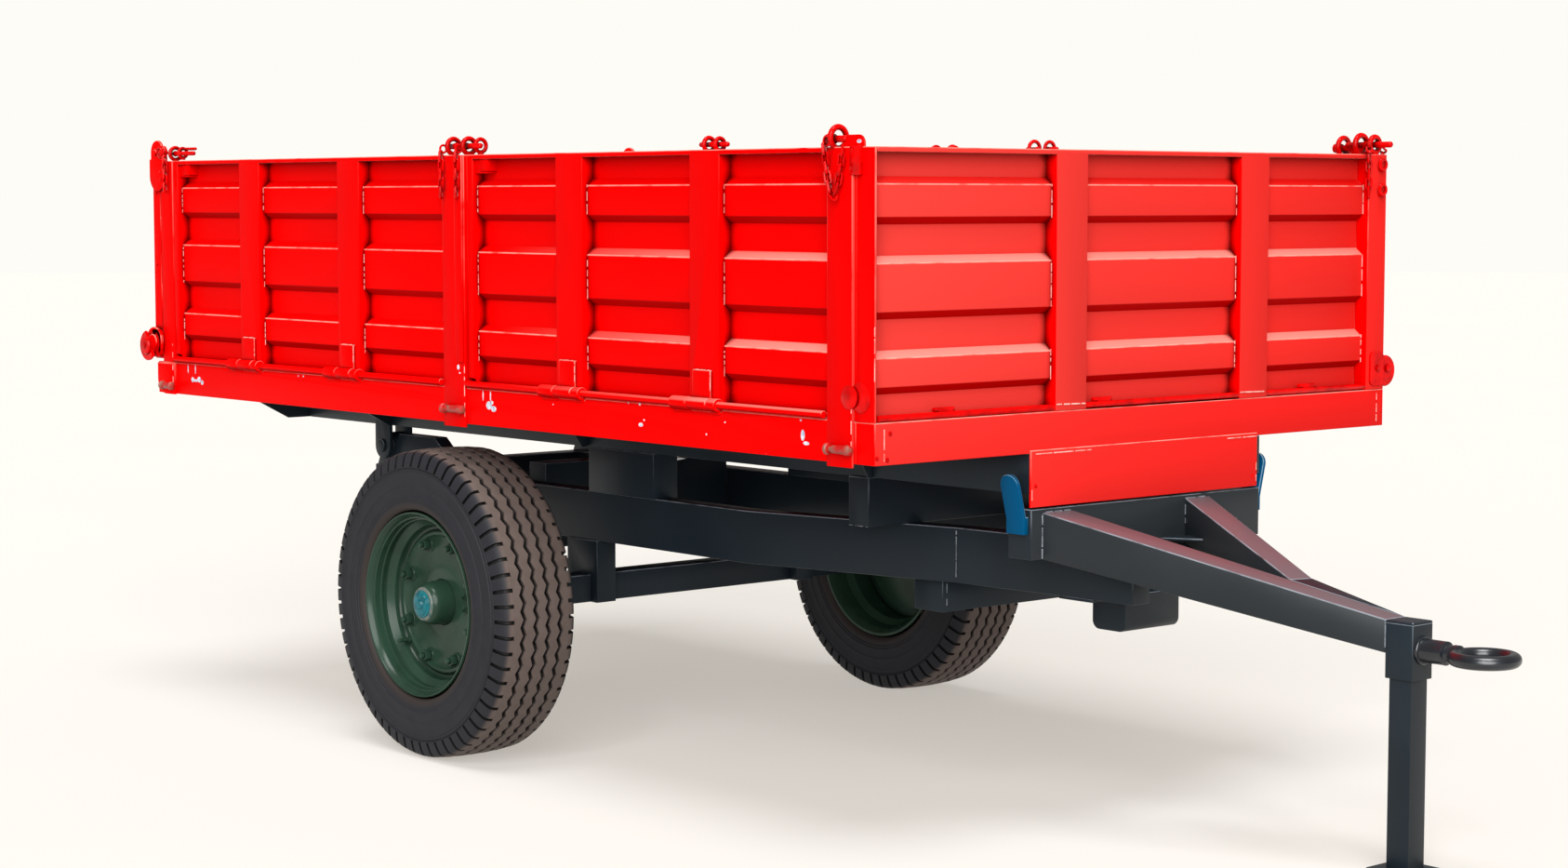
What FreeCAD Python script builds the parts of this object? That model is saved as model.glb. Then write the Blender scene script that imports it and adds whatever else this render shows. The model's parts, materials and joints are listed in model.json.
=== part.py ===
import FreeCAD, Part
import math
import os

# Single-axle tipping farm trailer. Millimetres, +X towards the tow eye, +Y to the left, +Z up.
# Every size below is written with x measured from the axle; the finished solids are moved along X
# at the end, so that the origin lies on the ground in the middle of the overall length.

V = FreeCAD.Vector
X = V(1, 0, 0)
Y = V(0, 1, 0)
Z = V(0, 0, 1)
RIGHT = -1
LEFT = 1
SIDES = {"right": RIGHT, "left": LEFT}

# ---------------------------------------------------------------- driving dimensions
# wheels
tyre_diameter = 840.0
tyre_width = 253.0
track = 1686.0
tyre_wall = 22.0
tread_share = 0.78
shoulder_drop = 5.0
shoulder_round = (9.0, 24.0)
sidewall_start = (3.0, 46.0)
bead_inset = 2.0
bead_gap = 0.5
liner_inset = 8.0
liner_crown = 6.0
rim_radius = 251.0
rim_sheet = 8.0
rim_half_width = 118.0
rim_lip = (7.0, 9.0)
rim_seat = (20.0, 13.0)
rim_well_edge = (64.0, 16.0)
rim_well = (46.0, 34.0)
disc_offset = 22.0
disc_sheet = 9.0
disc_ridge_radius = 188.0
disc_ridge_foot = 10.0
disc_ridge_top = 5.0
disc_ridge_rise = 6.0
hub_base_radius = 62.0
hub_nose_radius = 50.0
hub_nose_reach = 96.0
hub_flange_radius = 181.0
hub_flange_sheet = 11.0
hub_wall = 6.0
hub_back = 70.0
hub_collar = 26.0
hub_nose_round = (8.0, 4.0)
hub_blind_room = 2.0
cap_radius = 37.0
cap_height = 15.0
cap_steps = ((0.35, 1.0), (0.5, 0.8), (0.85, 0.55), (1.0, 0.3))
spindle_radius = 32.0
spindle_length = 235.0
axle_square = 78.0
axle_half_length = 640.0

# platform
body_behind_axle = 1510.0
body_ahead_of_axle = 1776.0
body_width = 1814.0
platform_height = 1013.0
frame_depth = 96.0
frame_tube_width = 50.0
frame_wall = 4.0
front_rail_depth = 64.0
floor_sheet = 4.0
bearer_width = 50.0
bearer_positions = (-1420.0, -960.0, -460.0, 30.0, 600.0, 1170.0)
gusset_sheet = 8.0
gusset_shapes = {-1450.0: (75.0, 260.0), -960.0: (0.0, 190.0), 30.0: (15.0, 80.0), 1222.0: (15.0, 70.0)}
subframe_outer = 410.0
subframe_width = 60.0
subframe_depth = 97.0
subframe_wall = 5.0
subframe_rear = -1490.0
apron_sheet = 6.0
apron_right_edge = -418.0
apron_left_edge = 394.0
apron_lap = 8.0
apron_gap = 5.0

# boards
board_height = 606.0
board_depth = 40.0
board_sheet = 3.0
board_floor_gap = 9.0
board_end_gap = 5.0
top_lip = 12.0
end_stile = 26.0
stiffener_width = 111.0
stiffener_pitch = 541.0
first_stiffener = 451.0
head_stiffener_centres = (-278.0, 382.0)
head_stiffener_width = 105.0
gate_stiffener_spacing = 620.0
rib_rise = 20.0
rib_slope = 17.0
rib_bottom_margin = 62.0
rib_heights = (96.0, 140.0, 105.0)
rib_top_margin = 67.0

# posts
rear_post_setback = 32.0
rear_post_width = 74.0
centre_post_middle = 124.5
centre_post_width = 101.0
centre_strip_width = 36.0
centre_strip_foot = 58.0
front_post_width = 86.0
corner_post_width = 64.0
corner_gap = 5.0
left_head_post_width = 74.0
post_wall = 5.0
post_plate = 7.0
post_foot_drop = 9.0
rear_foot_width = 108.0
rear_foot_radius = 48.0
post_seam = 3.0
foot_setback = 6.0
foot_lap = 2.0
strip_inset = 4.0
strip_sheet = 4.0

# board hinges
hinge_proud = 7.0
hinge_rise = 11.0
rod_radius = 9.0
rod_fit = 0.05
knuckle_radius = 16.0
knuckle_lead = 110.5
frame_knuckle_length = 62.0
board_knuckle_length = 76.0
end_knuckle_length = 31.0
knuckle_side_gap = 2.0
knuckle_relief = 1.5
rod_end_gap = 4.0
strap_sheet = 5.0
strap_width = 69.0
strap_height = 82.0
pad_drop = 22.0

# tailgate
gate_depth = 46.0
gate_gap = 11.0
gate_side_gap = 5.0
gate_pivot_height = 27.0
gate_pivot_lead = 4.0
gate_arm_sheet = 10.0
gate_arm_radius = 20.0
gate_arm_inset = 20.0
gate_arm_lead = 8.0
gate_arm_step = 10.0
gate_arm_weld = 2.0
gate_pin_radius = 9.0
gate_plate_sheet = 8.0
gate_plate_width = 94.0
gate_plate_drop = 92.0
gate_plate_rise = 36.0
gate_plate_lap = 6.0
gate_plate_taper = 0.8
gate_pin_reach = 8.0
latch_hook_radius = 49.0
latch_disc_radius = 27.0
latch_sheet = 8.0
latch_height = 48.0
latch_stand_off = 6.0
latch_slot = 6.0
latch_mouth_lead = 0.6
latch_bridge = (8.0, 14.0)

# tipping hinge and ram
tip_pivot_x = -1000.0
tip_pivot_z = 757.0
tip_pin_radius = 20.0
tip_lug_sheet = 12.0
tip_lug_radius = 40.0
tip_side_gap = 2.0
tip_pin_reach = 8.0
tip_web_gap = 12.0
bearing_rear = 10.0
bearing_front = 330.0
bearing_slope = (250.0, 60.0)
bearing_shoulder = 100.0
bearing_toe = 40.0
bearing_neck = 36.0
bearing_inset = 2.0
tip_angle_max = 45.0
ram_base_x = -680.0
ram_base_z = 527.0
ram_top_x = -100.0
ram_top_z = 780.0
ram_barrel_radius = 60.0
ram_barrel_wall = 9.0
ram_rod_radius = 27.0
ram_eye_radius = 36.0
ram_eye_width = 60.0
ram_stem_radius = 24.0
ram_pin_radius = 18.0
ram_lug_sheet = 14.0
ram_side_gap = 2.0
ram_head_room = 58.0
ram_gland_length = 60.0
ram_piston_length = 45.0
ram_stem_overlap = 10.0
ram_neck = 14.0
ram_end_wall = 16.0
ram_piston_gap = 6.0
ram_eye_overlap = 12.0
ram_foot_gap = 6.0
ram_pin_reach = 6.0
ram_hanger_radius = 32.0
ram_tube_width = 70.0
ram_tube_depth = 60.0
ram_tube_gap = 16.0

# chassis
rail_bottom = 556.0
rail_depth = 139.0
rail_width = 60.0
rail_wall = 5.0
rail_rear = -1075.0
rail_outer_wide = 400.0
rail_outer_narrow = 250.0
rail_crank_start = 720.0
rail_crank_end = 1360.0
rail_outer_nose = 215.0
bed_rest_gap = 0.5
rest_block_start = 43.0
rest_block_length = 294.0
rest_block_width = 84.0
support_beam_x = 1140.0
support_beam_width = 75.0
support_beam_half = 415.0
lower_tube_x = 1188.0
lower_tube_width = 104.0
lower_tube_depth = 84.0
lower_tube_half = 232.0
tube_wall = 5.0
rear_beam_width = 70.0
mid_beam_x = -340.0
mid_beam_width = 80.0
mid_beam_top = 748.0
mid_beam_bottom = 500.0
mid_beam_notch_half = 90.0
mid_beam_notch_bottom = 585.0
ram_beam_width = 60.0
ram_beam_depth = 80.0
axle_bracket_length = 140.0
axle_bracket_width = 66.0
axle_bracket_wall = 8.0
nose_bracket_lead = 14.0
rail_nose_reach = 145.0
nose_bracket_length = 110.0
nose_bracket_half = 96.0
nose_bracket_depth = 92.0
nose_bracket_sheet = 8.0
nose_bracket_round = 22.0

# drawbar
cross_beam_width = 76.0
cross_beam_depth = 120.0
cross_beam_top = 785.0
cross_beam_half = 410.0
drawbar_top_drop = 9.0
drawbar_reach = 744.0
drawbar_head_top = 573.0
drawbar_head_bottom = 497.0
right_beam_outer = -373.0
right_beam_inner = -275.0
left_beam_inner = 131.0
left_beam_outer = 218.0
drawbar_wall = 6.0
joint_share = 2.0 / 3.0
joint_lead = 8.0
joint_width = 66.0
gusset_plate_height = 14.0
corner_gusset_height = 30.0
corner_gusset_reach = 120.0
corner_gusset_share = 0.9
web_reach = 90.0
head_length = 75.0
head_half_width = 36.0
head_wall = 6.0
head_bottom = 441.0
guide_ear_width = 58.0
guide_ear_height = 112.0
guide_ear_sheet = 10.0
guide_ear_lean = 14.0
guide_ear_sink = 24.0
guide_ear_step = 6.0
guide_foot = (60.0, 18.0)

# tow eye
eye_height = 509.0
eye_reach = 165.0
eye_section_radius = 16.0
eye_mean_radius = 65.0
eye_hole_radius = 50.0
eye_neck_radius = 19.0
eye_sleeve_radius = 27.0
eye_sleeve_length = 62.0
eye_flange_radius = 33.0
eye_flange_sheet = 9.0
eye_collar_length = 22.0
eye_collar_step = 2.0

# parking leg
leg_fit = 1.0
leg_cap_sheet = 6.0
leg_wall = 5.0
leg_cap_round = 3.0
foot_size = 130.0
foot_sheet = 8.0
foot_round = 12.0

# ---------------------------------------------------------------- sizes that follow
tyre_radius = tyre_diameter / 2
axle_height = tyre_radius
half_width = body_width / 2
frame_bottom = platform_height - frame_depth
board_bottom = platform_height + board_floor_gap
board_top = board_bottom + board_height
recess_plane = half_width - board_depth
plate_plane = half_width + post_plate
hinge_y = half_width + hinge_proud
hinge_z = platform_height + hinge_rise
subframe_bottom = frame_bottom - subframe_depth
rail_top = rail_bottom + rail_depth
body_rear = -body_behind_axle
body_front = body_ahead_of_axle
drawbar_start = body_front
drawbar_end = drawbar_start + drawbar_reach
eye_centre_x = drawbar_end + head_length + eye_reach
eye_tip = eye_centre_x + eye_mean_radius + eye_section_radius
rear_post_x = body_rear + rear_post_setback
front_post_x = body_front - corner_post_width - corner_gap - front_post_width
gate_inner_x = rear_post_x - gate_gap
gate_pivot_x = gate_inner_x + gate_pivot_lead
gate_pivot_z = board_top + gate_pivot_height
latch_x = gate_inner_x - gate_depth / 2
latch_z = board_bottom + latch_height
middle_x = (eye_tip + latch_x - latch_hook_radius) / 2


# ---------------------------------------------------------------- shape helpers
def box(x0, x1, y0, y1, z0, z1):
    """A block between two corners."""
    return Part.makeBox(abs(x1 - x0), abs(y1 - y0), abs(z1 - z0), V(min(x0, x1), min(y0, y1), min(z0, z1)))


def rod(start, direction, radius, length):
    """A round bar from start along direction."""
    return Part.makeCylinder(radius, length, start, direction)


def fuse(shapes):
    """All the shapes welded into one, with the seams in flat faces taken out."""
    whole = shapes[0]
    if len(shapes) > 1:
        whole = whole.multiFuse(shapes[1:])
    return whole.removeSplitter()


def prism(points, along):
    """A flat outline pushed along a vector."""
    outline = Part.makePolygon(points + [points[0]])
    return Part.Face(outline).extrude(along)


def plan_prism(points, z0, z1):
    """An outline in plan, from z0 up to z1."""
    return prism([V(x, y, z0) for x, y in points], V(0, 0, z1 - z0))


def side_prism(points, y0, y1):
    """An outline seen from the side, from y0 to y1."""
    return prism([V(x, y0, z) for x, z in points], V(0, y1 - y0, 0))


def tube_x(x0, x1, y0, y1, z0, z1, wall):
    """A rectangular tube along X, open at its ends."""
    return box(x0, x1, y0, y1, z0, z1).cut(box(x0 - 1, x1 + 1, y0 + wall, y1 - wall, z0 + wall, z1 - wall))


def tube_y(x0, x1, y0, y1, z0, z1, wall):
    """A rectangular tube along Y, open at its ends."""
    return box(x0, x1, y0, y1, z0, z1).cut(box(x0 + wall, x1 - wall, y0 - 1, y1 + 1, z0 + wall, z1 - wall))


def closed_tube(x0, x1, y0, y1, z0, z1, wall):
    """Box-section tube with a plate welded over each end."""
    room = box(x0 + wall, x1 - wall, y0 + wall, y1 - wall, z0 + wall, z1 - wall)
    return box(x0, x1, y0, y1, z0, z1).cut(room)


def on_side(shape, side):
    """The shape as drawn for the left side, or mirrored to the right."""
    if side == LEFT:
        return shape
    return shape.mirror(V(0, 0, 0), Y)


def both_sides(shape):
    return Part.Compound([shape, on_side(shape, RIGHT)])


def round_plate(centre_x, centre_z, radius, y0, y1):
    """A disc standing in the XZ plane."""
    return rod(V(centre_x, min(y0, y1), centre_z), Y, radius, abs(y1 - y0))


# ---------------------------------------------------------------- ribbed board
def rib_rows(height):
    """Foot and height of each pressed rib, spread evenly between the margins."""
    spare = height - rib_bottom_margin - rib_top_margin - sum(rib_heights)
    gap = spare / (len(rib_heights) - 1)
    low = rib_bottom_margin
    rows = []
    for rib in rib_heights:
        rows.append((low, rib))
        low += rib + gap
    return rows


def pressed_sheet(length, height):
    """The board's sheet: one profile with its ribs pressed outwards, run along u."""
    fold = board_sheet * (math.hypot(rib_slope, rib_rise) - rib_slope) / rib_rise
    inner = [(0, 0)]
    outer = [(0, board_sheet)]
    for low, rib in rib_rows(height):
        high = low + rib
        inner += [(low, 0), (low + rib_slope, rib_rise), (high - rib_slope, rib_rise), (high, 0)]
        outer += [(low - fold, board_sheet), (low + rib_slope - fold, rib_rise + board_sheet),
                  (high - rib_slope + fold, rib_rise + board_sheet), (high + fold, board_sheet)]
    inner.append((height, 0))
    outer.append((height, board_sheet))
    return prism([V(0, v, w) for v, w in inner + outer[::-1]], V(length, 0, 0))


def folded_channel(u0, u1, height, depth):
    """An upright channel folded from sheet, its back open towards the board."""
    outer = box(u0, u1, 0, height, board_sheet / 2, depth)
    inner = box(u0 + board_sheet, u1 - board_sheet, -1, height - board_sheet, 0, depth - board_sheet)
    return outer.cut(inner)


def ribbed_board(length, height, depth, stiles, stiffeners, width):
    """A pressed steel board: u along it, v up it, w out of it, its inner face at w = 0."""
    parts = [pressed_sheet(length, height)]
    parts.append(box(0, length, height - board_sheet, height, 0, depth))
    parts.append(box(0, length, height - top_lip, height, depth - board_sheet, depth))
    parts.append(box(0, length, 0, board_sheet, 0, rib_rise + board_sheet))
    for low, high in stiles:
        parts.append(folded_channel(low, high, height, depth))
    for centre in stiffeners:
        parts.append(folded_channel(centre - width / 2, centre + width / 2, height, depth))
    return fuse(parts)


def place(shape, origin, u_axis, v_axis, w_axis):
    """Puts a board drawn in u, v, w into the trailer."""
    matrix = FreeCAD.Matrix(u_axis.x, v_axis.x, w_axis.x, origin.x,
                            u_axis.y, v_axis.y, w_axis.y, origin.y,
                            u_axis.z, v_axis.z, w_axis.z, origin.z,
                            0, 0, 0, 1)
    if matrix.determinant() > 0:
        return shape.transformed(matrix)
    flip = FreeCAD.Matrix(-1, 0, 0, 0, 0, 1, 0, 0, 0, 0, 1, 0, 0, 0, 0, 1)
    return shape.mirror(V(0, 0, 0), X).transformed(matrix * flip)


# ---------------------------------------------------------------- wheels
def ring_solid(outline, side):
    """Turns an outline of (offset from the wheel's middle plane, radius) about the axle line."""
    centre = V(0, track / 2, axle_height)
    points = [V(0, centre.y + offset, centre.z + radius) for offset, radius in outline]
    face = Part.Face(Part.makePolygon(points + [points[0]]))
    return on_side(face.revolve(centre, Y, 360), side)


def tyre(side):
    """The carcass: a crowned tread, round shoulders, bulged sidewalls and two beads, hollow inside."""
    half = tyre_width / 2
    tread = half * tread_share
    bulge = (rim_radius + tyre_radius) / 2
    bead = rim_radius + rim_sheet / 2 + bead_gap
    seat = rim_half_width - bead_inset
    liner = tyre_radius - tyre_wall - liner_crown
    centre = V(0, track / 2, axle_height)

    def at(offset, radius):
        return V(0, centre.y + offset, centre.z + radius)

    def arc(a, b, c):
        return Part.Arc(at(*a), at(*b), at(*c)).toShape()

    def line(a, b):
        return Part.LineSegment(at(*a), at(*b)).toShape()

    crown = (0, tyre_radius)
    shoulder = tyre_radius - shoulder_drop
    edges = [arc((-tread, shoulder), crown, (tread, shoulder))]
    for s in (1, -1):
        side_start = (s * (half - sidewall_start[0]), tyre_radius - sidewall_start[1])
        round_middle = (s * (half - shoulder_round[0]), tyre_radius - shoulder_round[1])
        liner_edge = (s * (tread - liner_inset), liner - liner_inset)
        edges.append(arc((s * tread, shoulder), round_middle, side_start))
        edges.append(arc(side_start, (s * half, bulge), (s * seat, bead)))
        edges.append(line((s * seat, bead), (s * (seat - tyre_wall), bead)))
        edges.append(arc((s * (seat - tyre_wall), bead), (s * (half - tyre_wall), bulge), liner_edge))
    edges.append(arc((tread - liner_inset, liner - liner_inset), (0, liner),
                     (-(tread - liner_inset), liner - liner_inset)))
    wire = Part.Wire(Part.__sortEdges__(edges))
    return on_side(Part.Face(wire).revolve(centre, Y, 360), side)


def rim(side):
    """The rolled rim and its dished disc."""
    lip = rim_radius - rim_sheet / 2
    half = rim_half_width
    path = [(half, lip), (half - rim_lip[0], lip - rim_lip[1]), (half - rim_seat[0], lip - rim_seat[1]),
            (rim_well_edge[0], lip - rim_well_edge[1]), (rim_well[0], lip - rim_well[1])]
    path += [(-w, r) for w, r in reversed(path)]
    outer = [(w, r + rim_sheet / 2) for w, r in path]
    inner = [(w, r - rim_sheet / 2) for w, r in reversed(path)]
    band = ring_solid(outer + inner, side)
    well = lip - rim_well[1] - rim_sheet / 4
    front = disc_offset + disc_sheet
    ridge = disc_ridge_radius
    crest = front + disc_ridge_rise
    outline = [(disc_offset, hub_base_radius + 1), (front, hub_base_radius + 1),
               (front, ridge - disc_ridge_foot), (crest, ridge - disc_ridge_top),
               (crest, ridge + disc_ridge_top), (front, ridge + disc_ridge_foot), (front, well),
               (disc_offset, well)]
    return fuse([band, ring_solid(outline, side)])


def hub(side):
    """The cast hub: bearing barrel, bolting flange behind the disc, and its bore on the spindle."""
    bore = spindle_radius + rod_fit
    root = hub_base_radius + hub_wall
    blind = spindle_length - (track / 2 - axle_half_length) + hub_blind_room
    outline = [(-hub_back, bore), (-hub_back, root), (disc_offset - hub_flange_sheet, root),
               (disc_offset - hub_flange_sheet, hub_flange_radius), (disc_offset, hub_flange_radius),
               (disc_offset, hub_base_radius), (disc_offset + disc_sheet + hub_collar, hub_base_radius - 3),
               (hub_nose_reach - hub_nose_round[0], hub_nose_radius + 2),
               (hub_nose_reach, hub_nose_radius - hub_nose_round[1]), (hub_nose_reach, 0.0), (blind, 0.0),
               (blind, bore)]
    return ring_solid(outline, side)


def hub_cap(side):
    """The pressed grease cap on the hub's nose."""
    outline = [(hub_nose_reach, 0.0), (hub_nose_reach, cap_radius)]
    outline += [(hub_nose_reach + cap_height * rise, cap_radius * share) for rise, share in cap_steps]
    outline.append((hub_nose_reach + cap_height, 0.0))
    return ring_solid(outline, side)


def axle_beam():
    """Square axle beam with a turned spindle at each end."""
    h = axle_square / 2
    beam = box(-h, h, -axle_half_length, axle_half_length, axle_height - h, axle_height + h)
    spindle = rod(V(0, axle_half_length - 1, axle_height), Y, spindle_radius, spindle_length + 1)
    return fuse([beam, spindle, on_side(spindle, RIGHT)])


def axle_brackets():
    """Saddles that hang from the rails and hold the axle beam."""
    h = axle_square / 2
    y_out = rail_outer_wide - (rail_width - axle_bracket_width) / 2
    y_in = y_out - axle_bracket_width
    half = axle_bracket_length / 2
    bottom = axle_height - h
    block = box(-half, half, y_in, y_out, bottom, rail_bottom)
    t = axle_bracket_wall
    hollow = box(-half + t, half - t, y_in + t, y_out - t, axle_height + h + t, rail_bottom - t)
    seat = box(-h, h, y_in - 1, y_out + 1, bottom - 1, axle_height + h)
    return both_sides(block.cut(hollow).cut(seat))


# ---------------------------------------------------------------- chassis
def rail_outline(inset):
    """The rail in plan: straight over the axle, cranked in, then straight to the nose."""
    w = rail_width - 2 * inset
    outer = [(rail_rear, rail_outer_wide - inset), (rail_crank_start, rail_outer_wide - inset),
             (rail_crank_end, rail_outer_narrow - inset), (body_front, rail_outer_nose - inset),
             (body_front + rail_nose_reach, rail_outer_nose - inset)]
    inner = [(x, y - w) for x, y in reversed(outer)]
    return outer + inner


def chassis_rail(side):
    """Box-section rail, its nose run on under the front cross beam and the drawbar's root."""
    end = body_front + rail_nose_reach
    seat = cross_beam_top - cross_beam_depth
    solid = plan_prism(rail_outline(0), rail_bottom, rail_top)
    hollow = plan_prism(rail_outline(rail_wall), rail_bottom + rail_wall, rail_top - rail_wall)
    start = body_front - cross_beam_width
    over = rail_top + 1
    notch = side_prism([(start, seat), (body_front, seat), (end + 1, drawbar_underside(end + 1)),
                        (end + 1, over), (start, over)], 0, half_width)
    nose = side_prism([(start - rail_wall, rail_bottom), (start - rail_wall, seat), (body_front, seat),
                       (end, drawbar_underside(end)), (end, rail_bottom)], 0, half_width)
    return on_side(fuse([solid.cut(hollow).cut(notch), solid.common(nose)]), side)


def front_cross_beam():
    """Box beam across the rails' noses, which the drawbar is welded to."""
    return closed_tube(body_front - cross_beam_width, body_front, -cross_beam_half, cross_beam_half,
                       cross_beam_top - cross_beam_depth, cross_beam_top, tube_wall)


def rest_blocks():
    """Blocks on the rails that the bed comes down on."""
    y_out = subframe_outer
    z1 = subframe_bottom - bed_rest_gap
    block = closed_tube(rest_block_start, rest_block_start + rest_block_length, y_out - rest_block_width,
                        y_out, rail_top, z1, tube_wall)
    return both_sides(block)


def support_beam():
    """Cross tube on the rails under the front half of the bed."""
    return closed_tube(support_beam_x, support_beam_x + support_beam_width, -support_beam_half,
                       support_beam_half, rail_top, subframe_bottom - bed_rest_gap, tube_wall)


def lower_cross_tube():
    """Cross tube welded under the two rails."""
    return closed_tube(lower_tube_x, lower_tube_x + lower_tube_width, -lower_tube_half, lower_tube_half,
                       rail_bottom - lower_tube_depth, rail_bottom, tube_wall)


def rear_cross_beam():
    """Cross tube between the rails' rear ends."""
    y = rail_outer_wide - rail_width
    return tube_y(rail_rear, rail_rear + rear_beam_width, -y, y, rail_bottom, rail_top, tube_wall)


def mid_cross_member():
    """Deep box between the rails, notched for the ram."""
    y = rail_outer_wide - rail_width
    x1 = mid_beam_x + mid_beam_width
    beam = box(mid_beam_x, x1, -y, y, mid_beam_bottom, mid_beam_top)
    hollow = box(mid_beam_x + tube_wall, x1 - tube_wall, -y + tube_wall, y - tube_wall,
                 mid_beam_bottom + tube_wall, mid_beam_top - tube_wall)
    notch = box(mid_beam_x - 1, x1 + 1, -mid_beam_notch_half, mid_beam_notch_half, mid_beam_notch_bottom,
                mid_beam_top + 1)
    lining = box(mid_beam_x, x1, -mid_beam_notch_half - tube_wall, mid_beam_notch_half + tube_wall,
                 mid_beam_notch_bottom - tube_wall, mid_beam_top)
    return beam.cut(hollow).fuse(lining).cut(notch).removeSplitter()


def ram_beam():
    """Cross tube under the rails, with the two lugs and the pin that carry the ram's foot."""
    y = rail_outer_wide
    front = ram_base_x - ram_eye_radius - ram_foot_gap
    top = rail_bottom
    tube = closed_tube(front - ram_beam_width, front, -y, y, top - ram_beam_depth, top, tube_wall)
    inner = ram_eye_width / 2 + ram_side_gap
    outer = inner + ram_lug_sheet
    low = max(top - ram_beam_depth, ram_base_z - ram_eye_radius)
    high = min(top, ram_base_z + ram_eye_radius)
    lug = fuse([box(front, ram_base_x, inner, outer, low, high),
                round_plate(ram_base_x, ram_base_z, min(high - ram_base_z, ram_base_z - low), inner, outer)])
    pin = round_plate(ram_base_x, ram_base_z, ram_pin_radius, -outer - ram_pin_reach, outer + ram_pin_reach)
    return fuse([tube, lug, on_side(lug, RIGHT), pin])


def tip_bearings():
    """Plates on the rails' rear ends with the bearing blocks of the tipping hinge."""
    inner = subframe_outer - subframe_width + tip_side_gap
    outer = subframe_outer - tip_side_gap
    shoulder = rail_top + bearing_shoulder
    foot = side_prism([(rail_rear + bearing_rear, rail_top), (tip_pivot_x + bearing_front, rail_top),
                       (tip_pivot_x + bearing_front, rail_top + bearing_toe),
                       (tip_pivot_x + bearing_slope[0], shoulder), (tip_pivot_x + bearing_slope[1], shoulder),
                       (tip_pivot_x + bearing_neck, tip_pivot_z), (tip_pivot_x - bearing_neck, tip_pivot_z)],
                      inner, min(outer, rail_outer_wide - bearing_inset))
    boss = round_plate(tip_pivot_x, tip_pivot_z, tip_lug_radius, inner, outer)
    block = fuse([foot, boss])
    bore = round_plate(tip_pivot_x, tip_pivot_z, tip_pin_radius + rod_fit, inner - 1, outer + 1)
    return both_sides(block.cut(bore))


def nose_bracket():
    """Closed bracket under the rails' noses, its lower corners rounded."""
    x1 = body_front + nose_bracket_lead
    x0 = x1 - nose_bracket_length
    z1 = rail_bottom
    z0 = z1 - nose_bracket_depth
    t = nose_bracket_sheet
    plate = box(x0, x1, -rail_outer_nose, rail_outer_nose, z1 - t, z1)
    shell = box(x0, x1, -nose_bracket_half, nose_bracket_half, z0, z1 - t)
    corners = [e for e in shell.Edges if abs(e.BoundBox.ZMin - z0) < 0.01 and e.BoundBox.ZLength < 0.01
               and e.BoundBox.YLength > 1]
    shell = shell.makeFillet(nose_bracket_round, corners)
    room = box(x0 + t, x1 - t, t - nose_bracket_half, nose_bracket_half - t, z0 + t, z1 - 2 * t)
    return fuse([plate, shell.cut(room)])


def drawbar_underside(x):
    """Height of the drawbar's underside."""
    low = cross_beam_top - cross_beam_depth
    return low + (drawbar_head_bottom - low) * (x - drawbar_start) / (drawbar_end - drawbar_start)


def drawbar_slab(inset):
    """The drawbar's side view: its top and its underside both slope down to the head."""
    top = cross_beam_top - drawbar_top_drop
    low = cross_beam_top - cross_beam_depth
    return side_prism([(drawbar_start, low + inset), (drawbar_start, top - inset),
                       (drawbar_end, drawbar_head_top - inset), (drawbar_end, drawbar_head_bottom + inset)],
                      -half_width, half_width)


def inset_outline(points, d):
    """The convex outline moved in by d on every edge (points run anticlockwise)."""
    moved = []
    count = len(points)
    for i in range(count):
        (x0, y0), (x1, y1), (x2, y2) = points[i - 1], points[i], points[(i + 1) % count]
        ax, ay = x1 - x0, y1 - y0
        bx, by = x2 - x1, y2 - y1
        la, lb = math.hypot(ax, ay), math.hypot(bx, by)
        px, py = x0 - ay / la * d, y0 + ax / la * d
        qx, qy = x1 - by / lb * d, y1 + bx / lb * d
        t = ((qx - px) * by - (qy - py) * bx) / (ax * by - ay * bx)
        moved.append((px + ax * t, py + ay * t))
    return moved


def drawbar_member(outline):
    """A closed box member with the plan outline given and the drawbar's sloping top and bottom."""
    solid = plan_prism(outline, 0, platform_height).common(drawbar_slab(0))
    hollow = plan_prism(inset_outline(outline, drawbar_wall), 0, platform_height)
    hollow = hollow.common(drawbar_slab(drawbar_wall))
    return solid.cut(hollow)


def right_inner_y(x):
    """The inner edge of the right drawbar member at x."""
    return right_beam_inner + (head_half_width - right_beam_inner) * (x - drawbar_start) / drawbar_reach


def drawbar_right():
    """The long member, from the cross beam to the head."""
    return drawbar_member([(drawbar_start, right_beam_outer), (drawbar_end, -head_half_width),
                           (drawbar_end, head_half_width), (drawbar_start, right_beam_inner)])


joint_inner_x = drawbar_start + drawbar_reach * joint_share
joint_outer_x = joint_inner_x + joint_lead
joint_outer_y = right_inner_y(joint_outer_x) + joint_width


def drawbar_left():
    """The short member, which ends against the long one."""
    return drawbar_member([(drawbar_start, left_beam_inner), (joint_inner_x, right_inner_y(joint_inner_x)),
                           (joint_outer_x, joint_outer_y), (drawbar_start, left_beam_outer)])


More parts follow.
